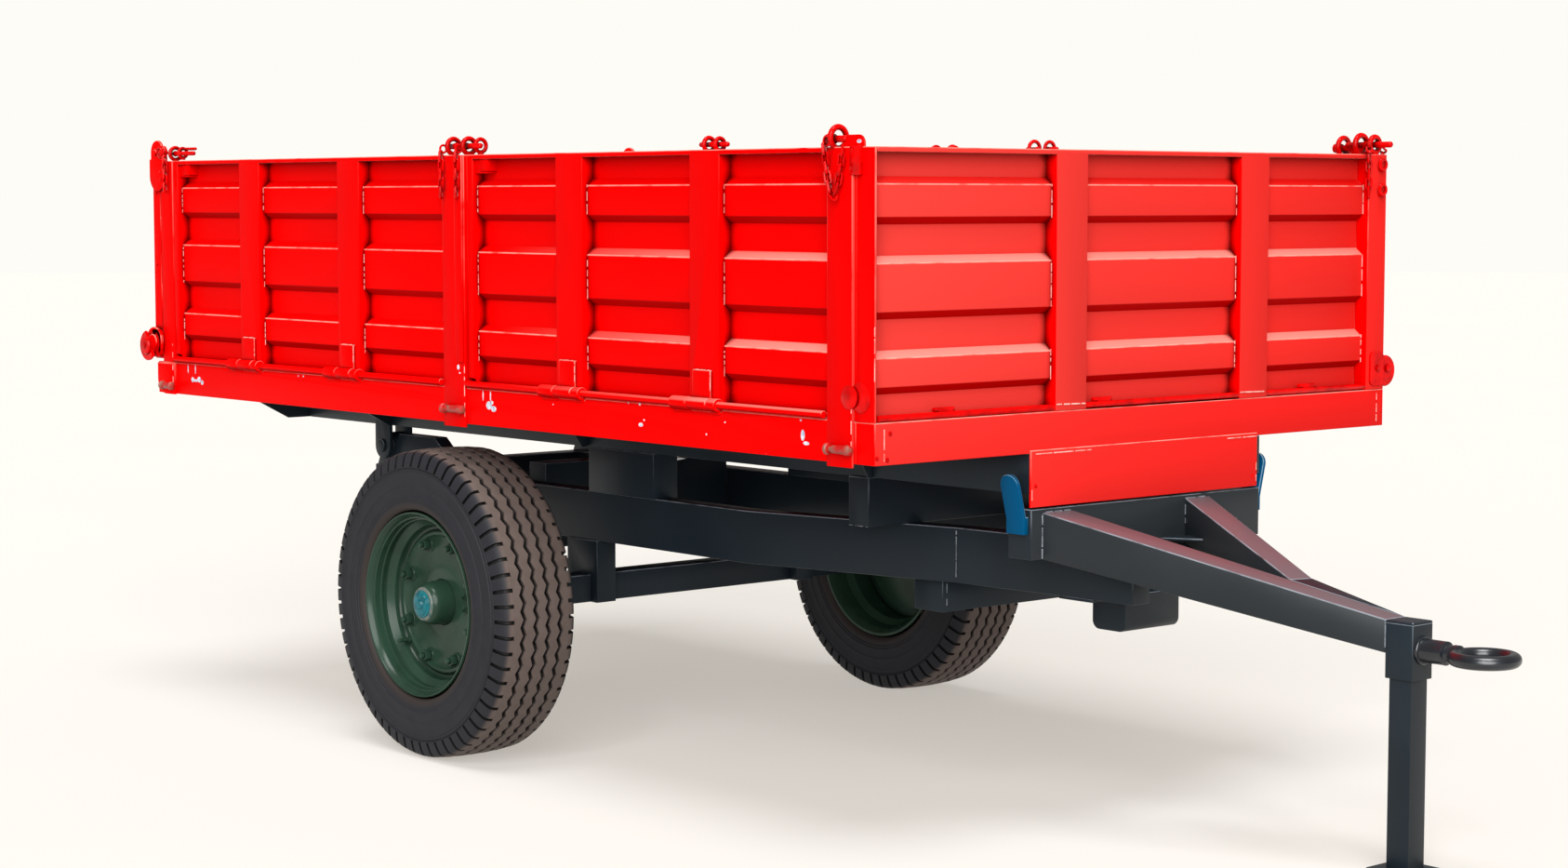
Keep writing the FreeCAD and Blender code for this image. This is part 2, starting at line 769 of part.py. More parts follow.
def drawbar_gussets():
    """The wedge beyond the joint, the corner gusset and the web plate in the A."""
    wedge = plan_prism([(joint_inner_x, right_inner_y(joint_inner_x)), (drawbar_end, head_half_width),
                        (joint_outer_x, joint_outer_y)], 0, platform_height).common(drawbar_slab(0))
    t = drawbar_wall
    z0 = cross_beam_top - cross_beam_depth + gusset_plate_height
    z1 = cross_beam_top - cross_beam_depth + corner_gusset_height + gusset_plate_height
    slope = (joint_outer_y - left_beam_outer) / (joint_outer_x - drawbar_start)
    reach = corner_gusset_reach
    corner = plan_prism([(drawbar_start, left_beam_outer),
                         (drawbar_start + reach, left_beam_outer + slope * reach),
                         (drawbar_start, left_beam_outer + reach * corner_gusset_share)], z1, z1 + t)
    inner_slope = (right_inner_y(joint_inner_x) - left_beam_inner) / (joint_inner_x - drawbar_start)
    web = web_reach
    plate = plan_prism([(drawbar_start, left_beam_inner), (drawbar_start, left_beam_inner - web),
                        (drawbar_start + web, left_beam_inner + inner_slope * web)], z0, z0 + t)
    return Part.Compound([wedge, corner, plate])


def drawbar_head():
    """Upright square sleeve at the drawbar's end; the parking leg slides in it."""
    x1 = drawbar_end + head_length
    z1 = drawbar_head_top - leg_cap_sheet
    y1 = head_half_width
    t = head_wall
    outer = box(drawbar_end, x1, -y1, y1, head_bottom, z1)
    inner = box(drawbar_end + t, x1 - t, -y1 + t, y1 - t, head_bottom - 1, z1 + 1)
    return outer.cut(inner)


def parking_leg():
    """Square drop leg: its cap rests on the sleeve, its foot on the ground."""
    x0 = drawbar_end + head_wall + leg_fit
    x1 = drawbar_end + head_length - head_wall - leg_fit
    y1 = head_half_width - head_wall - leg_fit
    z1 = drawbar_head_top - leg_cap_sheet
    leg = box(x0, x1, -y1, y1, foot_sheet, z1)
    leg = leg.cut(box(x0 + leg_wall, x1 - leg_wall, -y1 + leg_wall, y1 - leg_wall, foot_sheet - 1, z1 + 1))
    cap = box(drawbar_end, drawbar_end + head_length, -head_half_width, head_half_width, z1, drawbar_head_top)
    cap = cap.makeFillet(leg_cap_round, [e for e in cap.Edges if abs(e.BoundBox.ZMin - drawbar_head_top) < 0.01
                             and e.BoundBox.ZLength < 0.01])
    return fuse([leg, cap])


def parking_foot():
    """Foot plate welded under the leg."""
    mid = drawbar_end + head_length / 2
    plate = box(mid - foot_size / 2, mid + foot_size / 2, -foot_size / 2, foot_size / 2, 0, foot_sheet)
    upright = [e for e in plate.Edges if e.BoundBox.ZLength > 1]
    return plate.makeFillet(foot_round, upright)


def tow_eye():
    """Forged ring on a neck, with its sleeve and flange on the head's front face."""
    face = drawbar_end + head_length
    z = eye_height
    flange = rod(V(face, 0, z), X, eye_flange_radius, eye_flange_sheet)
    sleeve = rod(V(face, 0, z), X, eye_sleeve_radius, eye_sleeve_length)
    collar = Part.makeCone(eye_sleeve_radius - eye_collar_step, eye_neck_radius, eye_collar_length,
                           V(face + eye_sleeve_length, 0, z), X)
    neck_length = eye_centre_x - eye_mean_radius - face
    neck = rod(V(face, 0, z), X, eye_neck_radius, neck_length)
    ring = Part.makeTorus(eye_mean_radius, eye_section_radius, V(eye_centre_x, 0, z), Z)
    whole = fuse([flange, sleeve, collar, neck, ring])
    hole = rod(V(eye_centre_x, 0, z - 3 * eye_section_radius), Z, eye_hole_radius, 6 * eye_section_radius)
    return whole.cut(hole)


def guide_ears():
    """Round-topped ears on the cross beam's ends that lead the bed down between them."""
    mid = body_front - cross_beam_width / 2
    half = guide_ear_width / 2
    y0 = cross_beam_half
    straight = guide_ear_height - half
    ear = fuse([box(mid - half, mid + half, y0, y0 + guide_ear_sheet, 0, straight),
                round_plate(mid, straight, half, y0, y0 + guide_ear_sheet)])
    ear.rotate(V(mid, y0, 0), X, -guide_ear_lean)
    ear.translate(V(0, guide_ear_step, cross_beam_top - guide_ear_sink))
    foot = box(mid - half, mid + half, y0, y0 + guide_ear_sheet + guide_ear_step,
               cross_beam_top - guide_foot[0], cross_beam_top - guide_foot[1])
    return both_sides(fuse([ear, foot]))


# ---------------------------------------------------------------- bed
def bed_side_rail(side):
    """Box rail along the platform's side, its top edge relieved round the hinge barrels."""
    rail = tube_x(body_rear + frame_tube_width, body_front - front_rail_depth, half_width - frame_tube_width,
                  half_width, frame_bottom, platform_height, frame_wall)
    for station in hinge_stations():
        for x0, x1 in knuckle_spans(station):
            start = x0 - knuckle_side_gap
            length = x1 - x0 + 2 * knuckle_side_gap
            rail = rail.cut(rod(V(start, hinge_y, hinge_z), X, knuckle_radius + knuckle_relief, length))
    return on_side(rail, side)


def bed_front_rail():
    return closed_tube(body_front - front_rail_depth, body_front, -half_width, half_width, frame_bottom,
                       platform_height, frame_wall)


def bed_rear_rail():
    return closed_tube(body_rear, body_rear + frame_tube_width, -half_width, half_width, frame_bottom,
                       platform_height, frame_wall)


def floor_plate():
    y = half_width - frame_tube_width
    return box(body_rear + frame_tube_width, body_front - front_rail_depth, -y, y,
               platform_height - floor_sheet, platform_height)


def cross_bearers():
    """Tubes across the platform under the floor."""
    y = half_width - frame_tube_width
    z1 = platform_height - floor_sheet
    half = bearer_width / 2
    return Part.Compound([tube_y(x - half, x + half, -y, y, frame_bottom, z1, frame_wall)
                          for x in bearer_positions])


def subframe_rail(side):
    """Long box member under the bearers."""
    y1 = subframe_outer
    rail = closed_tube(subframe_rear, body_front, y1 - subframe_width, y1, subframe_bottom, frame_bottom,
                       subframe_wall)
    return on_side(rail, side)


def subframe_gussets():
    """Corner plates between the long members and the frame, clear of the tipping lugs."""
    shapes = []
    for x, (flat, reach) in gusset_shapes.items():
        beside_lug = abs(x - tip_pivot_x) < tip_lug_radius + gusset_sheet
        y0 = subframe_outer + (tip_lug_sheet if beside_lug else 0.0)
        foot = max(y0, subframe_outer + flat)
        corner = [V(x - gusset_sheet / 2, y0, subframe_bottom), V(x - gusset_sheet / 2, y0, frame_bottom),
                  V(x - gusset_sheet / 2, subframe_outer + reach, frame_bottom)]
        if foot > y0:
            corner.append(V(x - gusset_sheet / 2, foot, subframe_bottom))
        plate = prism(corner, V(gusset_sheet, 0, 0))
        shapes += [plate, on_side(plate, RIGHT)]
    return Part.Compound(shapes)


def tip_lugs():
    """Lug plates and pins of the tipping hinge, on the long members."""
    solids = []
    y_out = subframe_outer
    y_in = subframe_outer - subframe_width
    for y0, y1 in ((y_out, y_out + tip_lug_sheet), (y_in - tip_lug_sheet, y_in)):
        web = box(tip_pivot_x - tip_lug_radius, tip_pivot_x + tip_lug_radius, y0, y1, tip_pivot_z,
                  frame_bottom - tip_web_gap)
        solids.append(fuse([web, round_plate(tip_pivot_x, tip_pivot_z, tip_lug_radius, y0, y1)]))
    pin = round_plate(tip_pivot_x, tip_pivot_z, tip_pin_radius, y_in - tip_lug_sheet - tip_pin_reach,
                      y_out + tip_lug_sheet + tip_pin_reach)
    return both_sides(fuse(solids + [pin]))


def ram_cross_tube():
    """Cross tube between the long members with the two lugs above the ram's eye."""
    y = subframe_outer - subframe_width
    z0 = ram_top_z + ram_eye_radius + ram_tube_gap
    half = ram_tube_width / 2
    r = ram_hanger_radius
    tube = tube_y(ram_top_x - half, ram_top_x + half, -y, y, z0, z0 + ram_tube_depth, tube_wall)
    inner = ram_eye_width / 2 + ram_side_gap
    outer = inner + ram_lug_sheet
    lug = fuse([box(ram_top_x - r, ram_top_x + r, inner, outer, ram_top_z, z0),
                round_plate(ram_top_x, ram_top_z, r, inner, outer)])
    return fuse([tube, lug, on_side(lug, RIGHT)])


def apron():
    """Plate that closes the space under the platform's front rail."""
    z0 = cross_beam_top + apron_gap
    return box(body_front, body_front + apron_sheet, apron_right_edge, apron_left_edge, z0,
               frame_bottom + apron_lap)


def box_post(x0, x1, y0, y1):
    """A hollow square post that stands on the platform, closed at its top."""
    post = box(x0, x1, y0, y1, platform_height, board_top)
    core = box(x0 + post_wall, x1 - post_wall, y0 + post_wall, y1 - post_wall, platform_height - 1,
               board_top - post_wall)
    return post.cut(core)


def footed_post(x0, x1):
    """A box post with a face plate that runs down over the side rail as its foot."""
    face = box(x0, x1, half_width, plate_plane, frame_bottom - post_foot_drop, board_top)
    return fuse([box_post(x0, x1, recess_plane, half_width), face])


def rear_posts():
    """Rear corner posts, with the plates and pins that the tailgate hangs on."""
    x0 = rear_post_x
    post = box_post(x0, x0 + rear_post_width, recess_plane, half_width)
    y1 = half_width + gate_plate_sheet
    mid = gate_pivot_x
    half = gate_plate_width / 2
    crown = half * gate_plate_taper
    low = board_top - gate_plate_drop + half
    top = gate_pivot_z + gate_plate_rise - crown
    plate = fuse([box(mid - half, mid + half, half_width, y1, low, board_top + gate_plate_lap),
                  round_plate(mid, low, half, half_width, y1),
                  box(mid - crown, mid + crown, half_width, y1, board_top, top),
                  round_plate(mid, top, crown, half_width, y1)])
    pin = round_plate(gate_pivot_x, gate_pivot_z, gate_pin_radius,
                      recess_plane + gate_arm_inset - gate_pin_reach, y1 + gate_pin_reach)
    return both_sides(fuse([post, plate, pin]))


def rear_feet():
    """End plates on the side rails under the rear posts, their lower rear corner rounded."""
    x0 = body_rear + foot_setback
    x1 = x0 + rear_foot_width
    z1 = platform_height - post_seam
    plate = box(x0, x1, half_width, plate_plane, frame_bottom - foot_lap, z1)
    corner = [e for e in plate.Edges if e.BoundBox.YLength > 1 and e.BoundBox.XMax < x0 + 1
              and e.BoundBox.ZMax < frame_bottom]
    return both_sides(plate.makeFillet(rear_foot_radius, corner))


def centre_posts():
    """Posts between the two boards of each side, with the lock strip on their faces."""
    x0 = centre_post_middle - centre_post_width / 2
    x1 = x0 + centre_post_width
    strip_x1 = x1 - strip_inset
    strip_x0 = strip_x1 - centre_strip_width
    strip = box(strip_x0, strip_x1, plate_plane, plate_plane + strip_sheet, board_bottom + centre_strip_foot,
                board_top)
    lower = [e for e in strip.Edges if e.BoundBox.YLength > 1 and e.BoundBox.XMax < strip_x0 + 1
             and e.BoundBox.ZMax < board_top - 1]
    strip = strip.makeFillet(centre_strip_width * 0.6, lower)
    return both_sides(fuse([footed_post(x0, x1), strip]))


def front_posts():
    """Side posts at the front of the drop sides."""
    return both_sides(footed_post(front_post_x, front_post_x + front_post_width))


def corner_posts():
    """Headboard corner posts: an angle at the right, a square post at the left."""
    x0 = body_front - corner_post_width
    back = body_front - board_depth
    right = fuse([box_post(x0, back, -half_width, -recess_plane),
                  box(back - post_wall, body_front, -half_width, -half_width + post_wall,
                      platform_height, board_top)])
    left = box_post(x0, body_front, half_width - left_head_post_width, half_width)
    return Part.Compound([right, left])


def headboard():
    """Fixed front board between the corner posts."""
    y0 = -half_width + post_wall + 0.5
    y1 = half_width - left_head_post_width - 1
    centres = [c - y0 for c in head_stiffener_centres]
    height = board_height + board_floor_gap
    board = ribbed_board(y1 - y0, height, board_depth, [], centres, head_stiffener_width)
    return place(board, V(body_front - board_depth, y0, platform_height), Y, Z, X)


# ---------------------------------------------------------------- side boards
BOARDS = {
    "rear": (rear_post_x + rear_post_width + board_end_gap,
             centre_post_middle - centre_post_width / 2 - board_end_gap),
    "front": (centre_post_middle + centre_post_width / 2 + board_end_gap, front_post_x - board_end_gap),
}
STIFFENERS = (first_stiffener, first_stiffener + stiffener_pitch)


def hinge_stations():
    """Where along the sides the boards' hinge barrels meet the platform's."""
    return [start + centre for start, end in BOARDS.values() for centre in STIFFENERS]


def knuckle_spans(station):
    """The three barrels of a hinge: the frame's, the board's and the frame's short one at the end."""
    x = station - knuckle_lead
    spans = []
    for length in (frame_knuckle_length, board_knuckle_length, end_knuckle_length):
        spans.append((x, x + length))
        x += length + knuckle_side_gap
    return spans


def knuckle(x0, x1):
    """A hinge barrel round the rod."""
    length = x1 - x0
    barrel = rod(V(x0, hinge_y, hinge_z), X, knuckle_radius, length)
    return barrel.cut(rod(V(x0 - 1, hinge_y, hinge_z), X, rod_radius + rod_fit, length + 2))


def side_board(name, side):
    """A drop side: its ribbed board and the hinge barrels and straps at its stiffeners."""
    start, end = BOARDS[name]
    board = ribbed_board(end - start, board_height, board_depth, [(0, end_stile)], STIFFENERS, stiffener_width)
    board = place(board, V(start, recess_plane, board_bottom), X, Z, Y)
    groove = rod(V(start - 1, hinge_y, hinge_z), X, knuckle_radius + knuckle_relief, end - start + 2)
    parts = [board.cut(groove)]
    for centre in STIFFENERS:
        x0, x1 = knuckle_spans(start + centre)[1]
        strap = box(x1 - strap_width, x1, half_width - 1, half_width + strap_sheet, hinge_z,
                    hinge_z + strap_height)
        bite = rod(V(x0 - 1, hinge_y, hinge_z), X, rod_radius + rod_fit, board_knuckle_length + 2)
        parts.append(strap.cut(bite))
        parts.append(knuckle(x0, x1))
    return on_side(fuse(parts), side)


def hinge_knuckles():
    """Hinge barrels on the platform's side rails, beside the boards' own."""
    solids = []
    for station in hinge_stations():
        for x0, x1 in knuckle_spans(station)[::2]:
            pad = box(x0, x1, half_width, half_width + strap_sheet, hinge_z - pad_drop, hinge_z)
            pad = pad.cut(rod(V(x0 - 1, hinge_y, hinge_z), X, rod_radius + rod_fit, x1 - x0 + 2))
            shape = fuse([knuckle(x0, x1), pad])
            solids += [shape, on_side(shape, RIGHT)]
    return Part.Compound(solids)


def hinge_rods():
    """The long rods that the drop sides turn on."""
    solids = []
    for start, end in BOARDS.values():
        bar = rod(V(start + rod_end_gap, hinge_y, hinge_z), X, rod_radius, end - start - 2 * rod_end_gap)
        solids += [bar, on_side(bar, RIGHT)]
    return Part.Compound(solids)


def gate_latch(y_end):
    """Latch at the gate's lower corner: a round-headed pin inside a hook plate that opens downwards."""
    y0 = half_width + latch_stand_off
    y1 = y0 + latch_sheet
    ring = round_plate(latch_x, latch_z, latch_hook_radius, y0, y1)
    ring = ring.cut(round_plate(latch_x, latch_z, latch_disc_radius + latch_slot, y0 - 1, y1 + 1))
    mouth = box(latch_x - latch_hook_radius, latch_x + latch_hook_radius * latch_mouth_lead, y0 - 1, y1 + 1,
                latch_z - latch_hook_radius, latch_z - latch_disc_radius)
    bridge = box(latch_x - latch_bridge[0], latch_x + latch_bridge[1], y0, y1, latch_z,
                 latch_z + latch_hook_radius - latch_slot)
    head = round_plate(latch_x, latch_z, latch_disc_radius, y_end - 1, y1 + latch_stand_off)
    return fuse([ring.cut(mouth), bridge, head])


def tailgate():
    """Top-hung tailgate with its hanger arms and its latches."""
    half = half_width - gate_side_gap
    centres = [half - gate_stiffener_spacing / 2, half + gate_stiffener_spacing / 2]
    stiles = [(0, end_stile), (2 * half - end_stile, 2 * half)]
    board = ribbed_board(2 * half, board_height, gate_depth, stiles, centres, stiffener_width)
    board = place(board, V(gate_inner_x, -half, board_bottom), Y, Z, V(-1, 0, 0))
    y0 = recess_plane + gate_arm_inset
    y1 = y0 + gate_arm_sheet
    r = gate_arm_radius
    foot = board_top - gate_arm_weld
    arm = fuse([side_prism([(gate_inner_x - gate_depth, foot), (gate_inner_x, foot),
                            (gate_inner_x, gate_pivot_z), (gate_pivot_x, gate_pivot_z + r),
                            (gate_inner_x - gate_depth + gate_arm_lead, board_top + gate_arm_step)], y0, y1),
                round_plate(gate_pivot_x, gate_pivot_z, r, y0, y1)])
    arm = arm.cut(round_plate(gate_pivot_x, gate_pivot_z, gate_pin_radius + rod_fit, y0 - 1, y1 + 1))
    latch = gate_latch(half)
    return fuse([board, arm, on_side(arm, RIGHT), latch, on_side(latch, RIGHT)])


# ---------------------------------------------------------------- ram
def ram_frame():
    """Unit vector along the ram and its length from pivot to pivot when the bed is down."""
    dx = ram_top_x - ram_base_x
    dz = ram_top_z - ram_base_z
    length = math.hypot(dx, dz)
    return V(dx / length, 0, dz / length), length


def ram_barrel():
    """Ram barrel: foot eye, tube and gland."""
    along, length = ram_frame()
    base = V(ram_base_x, 0, ram_base_z)
    start = ram_eye_radius + ram_neck
    end = length - ram_head_room
    half = ram_eye_width / 2
    eye = rod(base - Y * half, Y, ram_eye_radius, ram_eye_width)
    stem = rod(base + along * ram_stem_overlap, along, ram_stem_radius, start)
    tube = rod(base + along * start, along, ram_barrel_radius, end - start)
    bore = rod(base + along * (start + ram_end_wall), along, ram_barrel_radius - ram_barrel_wall,
               end - start - ram_end_wall - ram_gland_length)
    gland = rod(base + along * (end - ram_gland_length - 1), along, ram_rod_radius + rod_fit,
                ram_gland_length + 2)
    body = fuse([eye, stem, tube]).cut(bore).cut(gland)
    return body.cut(rod(base - Y * (half + 1), Y, ram_pin_radius + rod_fit, ram_eye_width + 2))


def ram_rod():
    """Ram rod: piston, rod and the eye with the middle of its pin."""
    along, length = ram_frame()
    base = V(ram_base_x, 0, ram_base_z)
    half = ram_eye_width / 2
    piston_at = ram_eye_radius + ram_neck + ram_end_wall + ram_piston_gap
    piston_radius = ram_barrel_radius - ram_barrel_wall - rod_fit
    piston = rod(base + along * piston_at, along, piston_radius, ram_piston_length)
    bar = rod(base + along * piston_at, along, ram_rod_radius,
              length - piston_at - ram_eye_radius + ram_eye_overlap)
    top = base + along * length
    eye = rod(top - Y * half, Y, ram_eye_radius, ram_eye_width)
    return fuse([piston, bar, eye])


# ---------------------------------------------------------------- all the pieces
nodes = {
    "axle_beam": axle_beam(),
    "axle_brackets": axle_brackets(),
    "front_cross_beam": front_cross_beam(),
    "rest_blocks": rest_blocks(),
    "support_beam": support_beam(),
    "lower_cross_tube": lower_cross_tube(),
    "rear_cross_beam": rear_cross_beam(),
    "mid_cross_member": mid_cross_member(),
    "ram_beam": ram_beam(),
    "tip_bearings": tip_bearings(),
    "nose_bracket": nose_bracket(),
    "drawbar_beam_right": drawbar_right(),
    "drawbar_beam_left": drawbar_left(),
    "drawbar_gussets": drawbar_gussets(),
    "drawbar_head": drawbar_head(),
    "tow_eye": tow_eye(),
    "guide_ears": guide_ears(),
    "parking_leg": parking_leg(),
    "parking_foot": parking_foot(),
    "bed_front_rail": bed_front_rail(),
    "bed_rear_rail": bed_rear_rail(),
    "floor_plate": floor_plate(),
    "cross_bearers": cross_bearers(),
    "subframe_gussets": subframe_gussets(),
    "tip_lugs": tip_lugs(),
    "ram_cross_tube": ram_cross_tube(),
    "apron": apron(),
    "rear_posts": rear_posts(),
    "centre_posts": centre_posts(),
    "front_posts": front_posts(),
    "corner_posts": corner_posts(),
    "rear_feet": rear_feet(),
    "headboard": headboard(),
    "hinge_knuckles": hinge_knuckles(),
    "hinge_rods": hinge_rods(),
    "tailgate": tailgate(),
    "ram_barrel": ram_barrel(),
    "ram_rod": ram_rod(),
}
for word, sign in SIDES.items():
    nodes["chassis_rail_" + word] = chassis_rail(sign)
    nodes["bed_side_rail_" + word] = bed_side_rail(sign)
    nodes["subframe_rail_" + word] = subframe_rail(sign)
    nodes["tyre_" + word] = tyre(sign)
    nodes["rim_" + word] = rim(sign)
    nodes["hub_" + word] = hub(sign)
    nodes["hub_cap_" + word] = hub_cap(sign)
    for board_name in BOARDS:
        nodes["side_board_" + word + "_" + board_name] = side_board(board_name, sign)

os.makedirs("parts", exist_ok=True)
for name, shape in nodes.items():
    shape.translate(V(-middle_x, 0, 0))
    if not shape.isValid():
        print("not valid:", name)
    shape.exportStep("parts/" + name + ".step")
print(len(nodes), "nodes; axle at x =", -middle_x)
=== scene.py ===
# %% [markdown]
# # A single-axle tipping farm trailer
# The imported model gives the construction: every rail, board and pin at its real size and place.
# This lesson gives it its looks. It keeps the plain steelwork, with its folded edges softened,
# models what a maker would call trim (tread, nuts, latches, chains, weld beads), and paints it all.
# Everything is in metres, with +X towards the tow eye, +Y to the trailer's left and +Z up.

# %% The frame
import json
import math
import random

import bmesh
import bpy
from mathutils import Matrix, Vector

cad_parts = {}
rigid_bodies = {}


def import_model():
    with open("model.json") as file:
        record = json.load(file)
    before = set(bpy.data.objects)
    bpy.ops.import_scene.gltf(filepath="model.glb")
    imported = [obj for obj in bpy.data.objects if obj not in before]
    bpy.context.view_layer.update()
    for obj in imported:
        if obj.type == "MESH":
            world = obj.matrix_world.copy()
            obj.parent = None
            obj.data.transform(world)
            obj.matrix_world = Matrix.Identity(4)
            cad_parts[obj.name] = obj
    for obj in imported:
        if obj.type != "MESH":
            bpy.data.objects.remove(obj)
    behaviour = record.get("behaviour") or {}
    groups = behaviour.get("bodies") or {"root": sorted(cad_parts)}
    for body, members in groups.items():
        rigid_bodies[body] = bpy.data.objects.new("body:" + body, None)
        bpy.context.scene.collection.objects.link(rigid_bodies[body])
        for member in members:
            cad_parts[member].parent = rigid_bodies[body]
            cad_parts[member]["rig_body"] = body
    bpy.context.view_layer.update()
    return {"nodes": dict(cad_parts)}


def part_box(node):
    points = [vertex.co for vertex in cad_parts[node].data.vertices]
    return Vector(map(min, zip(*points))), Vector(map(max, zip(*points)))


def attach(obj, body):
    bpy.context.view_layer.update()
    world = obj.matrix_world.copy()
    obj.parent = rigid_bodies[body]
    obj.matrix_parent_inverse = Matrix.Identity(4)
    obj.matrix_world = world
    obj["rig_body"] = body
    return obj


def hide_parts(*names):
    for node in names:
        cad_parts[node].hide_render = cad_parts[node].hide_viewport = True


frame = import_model()
random.seed(7)
MM = 0.001
X_AXIS = Vector((1, 0, 0))
Y_AXIS = Vector((0, 1, 0))
Z_AXIS = Vector((0, 0, 1))
SIDES = {"right": -1, "left": 1}


def mm(*parts):
    """Millimetres as a vector in metres."""
    return Vector(parts) * MM


# %% [markdown]
# ## The places that everything else is measured from
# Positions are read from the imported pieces, so that a latch or a weld bead stays on its post
# whatever size the post has.

# %% Places
REAR_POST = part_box("rear_posts")
CENTRE_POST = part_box("centre_posts")
FRONT_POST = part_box("front_posts")
CORNER_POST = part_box("corner_posts")
FRONT_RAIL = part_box("bed_front_rail")
REAR_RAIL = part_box("bed_rear_rail")
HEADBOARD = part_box("headboard")
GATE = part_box("tailgate")
CROSS_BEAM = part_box("front_cross_beam")
HALF_WIDTH = FRONT_RAIL[1].y
PLATFORM = FRONT_RAIL[1].z
FRAME_BOTTOM = FRONT_RAIL[0].z
TOP = FRONT_POST[1].z
FRONT = FRONT_RAIL[1].x
REAR = REAR_RAIL[0].x
FRONT_EDGE = Vector((FRONT, 0, PLATFORM))
PLATE = FRONT_POST[1].y
AXLE_X = sum((corner.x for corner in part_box("axle_beam")), 0.0) / 2
print("platform %.0f mm high, %.0f mm wide" % (PLATFORM / MM, 2 * HALF_WIDTH / MM))

# %% [markdown]
# ## Working as by hand
# Each new piece starts as one of Blender's primitives and is shaped in edit mode with the same
# operators that a hand would use. An operator acts on whatever is selected, so these short helpers
# clear the selection, pick faces or edges by where they are, and settle a finished piece: its place
# goes into its mesh, and it gets its name, finish and body.


# %% Selecting
def fresh():
    """Leaves nothing selected, so that the next operator touches only what it adds."""
    if bpy.context.object and bpy.context.object.mode != "OBJECT":
        bpy.ops.object.mode_set(mode="OBJECT")
    bpy.ops.object.select_all(action="DESELECT")


def only(piece):
    """Selects one piece alone and makes it the active one."""
    fresh()
    piece.select_set(True)
    bpy.context.view_layer.objects.active = piece


def edit(piece):
    """Opens one piece alone in edit mode."""
    only(piece)
    bpy.ops.object.mode_set(mode="EDIT")


def pick(kind, test):
    """In edit mode, selects the VERT, EDGE or FACE elements that pass the test.

    The test is given the middle and the normal, or for an edge its middle and its direction."""
    bpy.ops.mesh.select_mode(type=kind)
    bpy.ops.mesh.select_all(action="DESELECT")
    mesh = bmesh.from_edit_mesh(bpy.context.object.data)
    count = 0
    for item in {"VERT": mesh.verts, "EDGE": mesh.edges, "FACE": mesh.faces}[kind]:
        if kind == "VERT":
            chosen = test(item.co, item.normal)
        elif kind == "EDGE":
            ends = [end.co for end in item.verts]
            chosen = test((ends[0] + ends[1]) / 2, (ends[1] - ends[0]).normalized())
        else:
            chosen = test(item.calc_center_median(), item.normal)
        if chosen:
            item.select_set(True)
            count += 1
    bmesh.update_edit_mesh(bpy.context.object.data)
    return count


# %% Starting and settling pieces
def block(low, high, bevel=0.0, steps=2):
    """A box between two corners, its edges bevelled."""
    fresh()
    bpy.ops.mesh.primitive_cube_add(size=1)
    piece = bpy.context.object
    low = Vector(low)
    high = Vector(high)
    edit(piece)
    bpy.ops.mesh.select_all(action="SELECT")
    bpy.ops.transform.resize(value=high - low)
    bpy.ops.transform.translate(value=(low + high) / 2)
    if bevel:
        bpy.ops.mesh.bevel(offset=bevel, segments=steps, affect="EDGES")
    fresh()
    return piece


def rounded(low, high, axis, radius, steps):
    """A plate between two corners, with its edges along one axis rounded."""
    piece = block(low, high)
    edit(piece)
    pick("EDGE", lambda middle, way: abs(way[axis]) > 0.9)
    bpy.ops.mesh.bevel(offset=radius, segments=steps, affect="EDGES")
    fresh()
    return piece


def bar(start, end, radius, bevel=0.0, sides=16, end_radius=None):
    """A round bar from start to end, its rims bevelled; it may taper."""
    start = Vector(start)
    end = Vector(end)
    along = end - start
    fresh()
    bpy.ops.mesh.primitive_cone_add(vertices=sides, radius1=radius,
                                    radius2=radius if end_radius is None else end_radius,
                                    depth=along.length, location=(start + end) / 2,
                                    rotation=along.to_track_quat("Z", "Y").to_euler())
    piece = bpy.context.object
    bpy.ops.object.transform_apply(location=True, rotation=True, scale=True)
    if bevel:
        edit(piece)
        flat = along.normalized()
        pick("EDGE", lambda middle, way: abs(way.dot(flat)) < 0.3)
        bpy.ops.mesh.bevel(offset=bevel, segments=2, affect="EDGES")
        fresh()
    return piece


def lathe(outline, centre, axis, steps=64):
    """Spins an outline of (reach along the axis, radius) about the axis through centre.

    An outline that starts on the axis also ends there; any other is closed on itself."""
    centre = Vector(centre)
    last = [] if outline[0][1] == 0 else [0]
    axis = Vector(axis).normalized()
    out = axis.orthogonal().normalized()
    points = [centre + axis * reach + out * radius for reach, radius in outline]
    fresh()
    bpy.ops.mesh.primitive_plane_add(size=MM, location=points[0])
    piece = bpy.context.object
    bpy.ops.object.transform_apply(location=True, rotation=True, scale=True)
    edit(piece)
    bpy.ops.mesh.select_mode(type="VERT")
    bpy.ops.mesh.select_all(action="SELECT")
    bpy.ops.mesh.merge(type="CENTER")
    for before, after in zip(points, points[1:] + [points[i] for i in last]):
        bpy.ops.mesh.extrude_vertices_move(TRANSFORM_OT_translate={"value": after - before})
    bpy.ops.mesh.select_all(action="SELECT")
    bpy.ops.mesh.spin(steps=steps, angle=2 * math.pi, center=centre, axis=axis)
    bpy.ops.mesh.select_all(action="SELECT")
    bpy.ops.mesh.remove_doubles(threshold=0.00002)
    bpy.ops.mesh.normals_make_consistent(inside=False)
    fresh()
    return piece


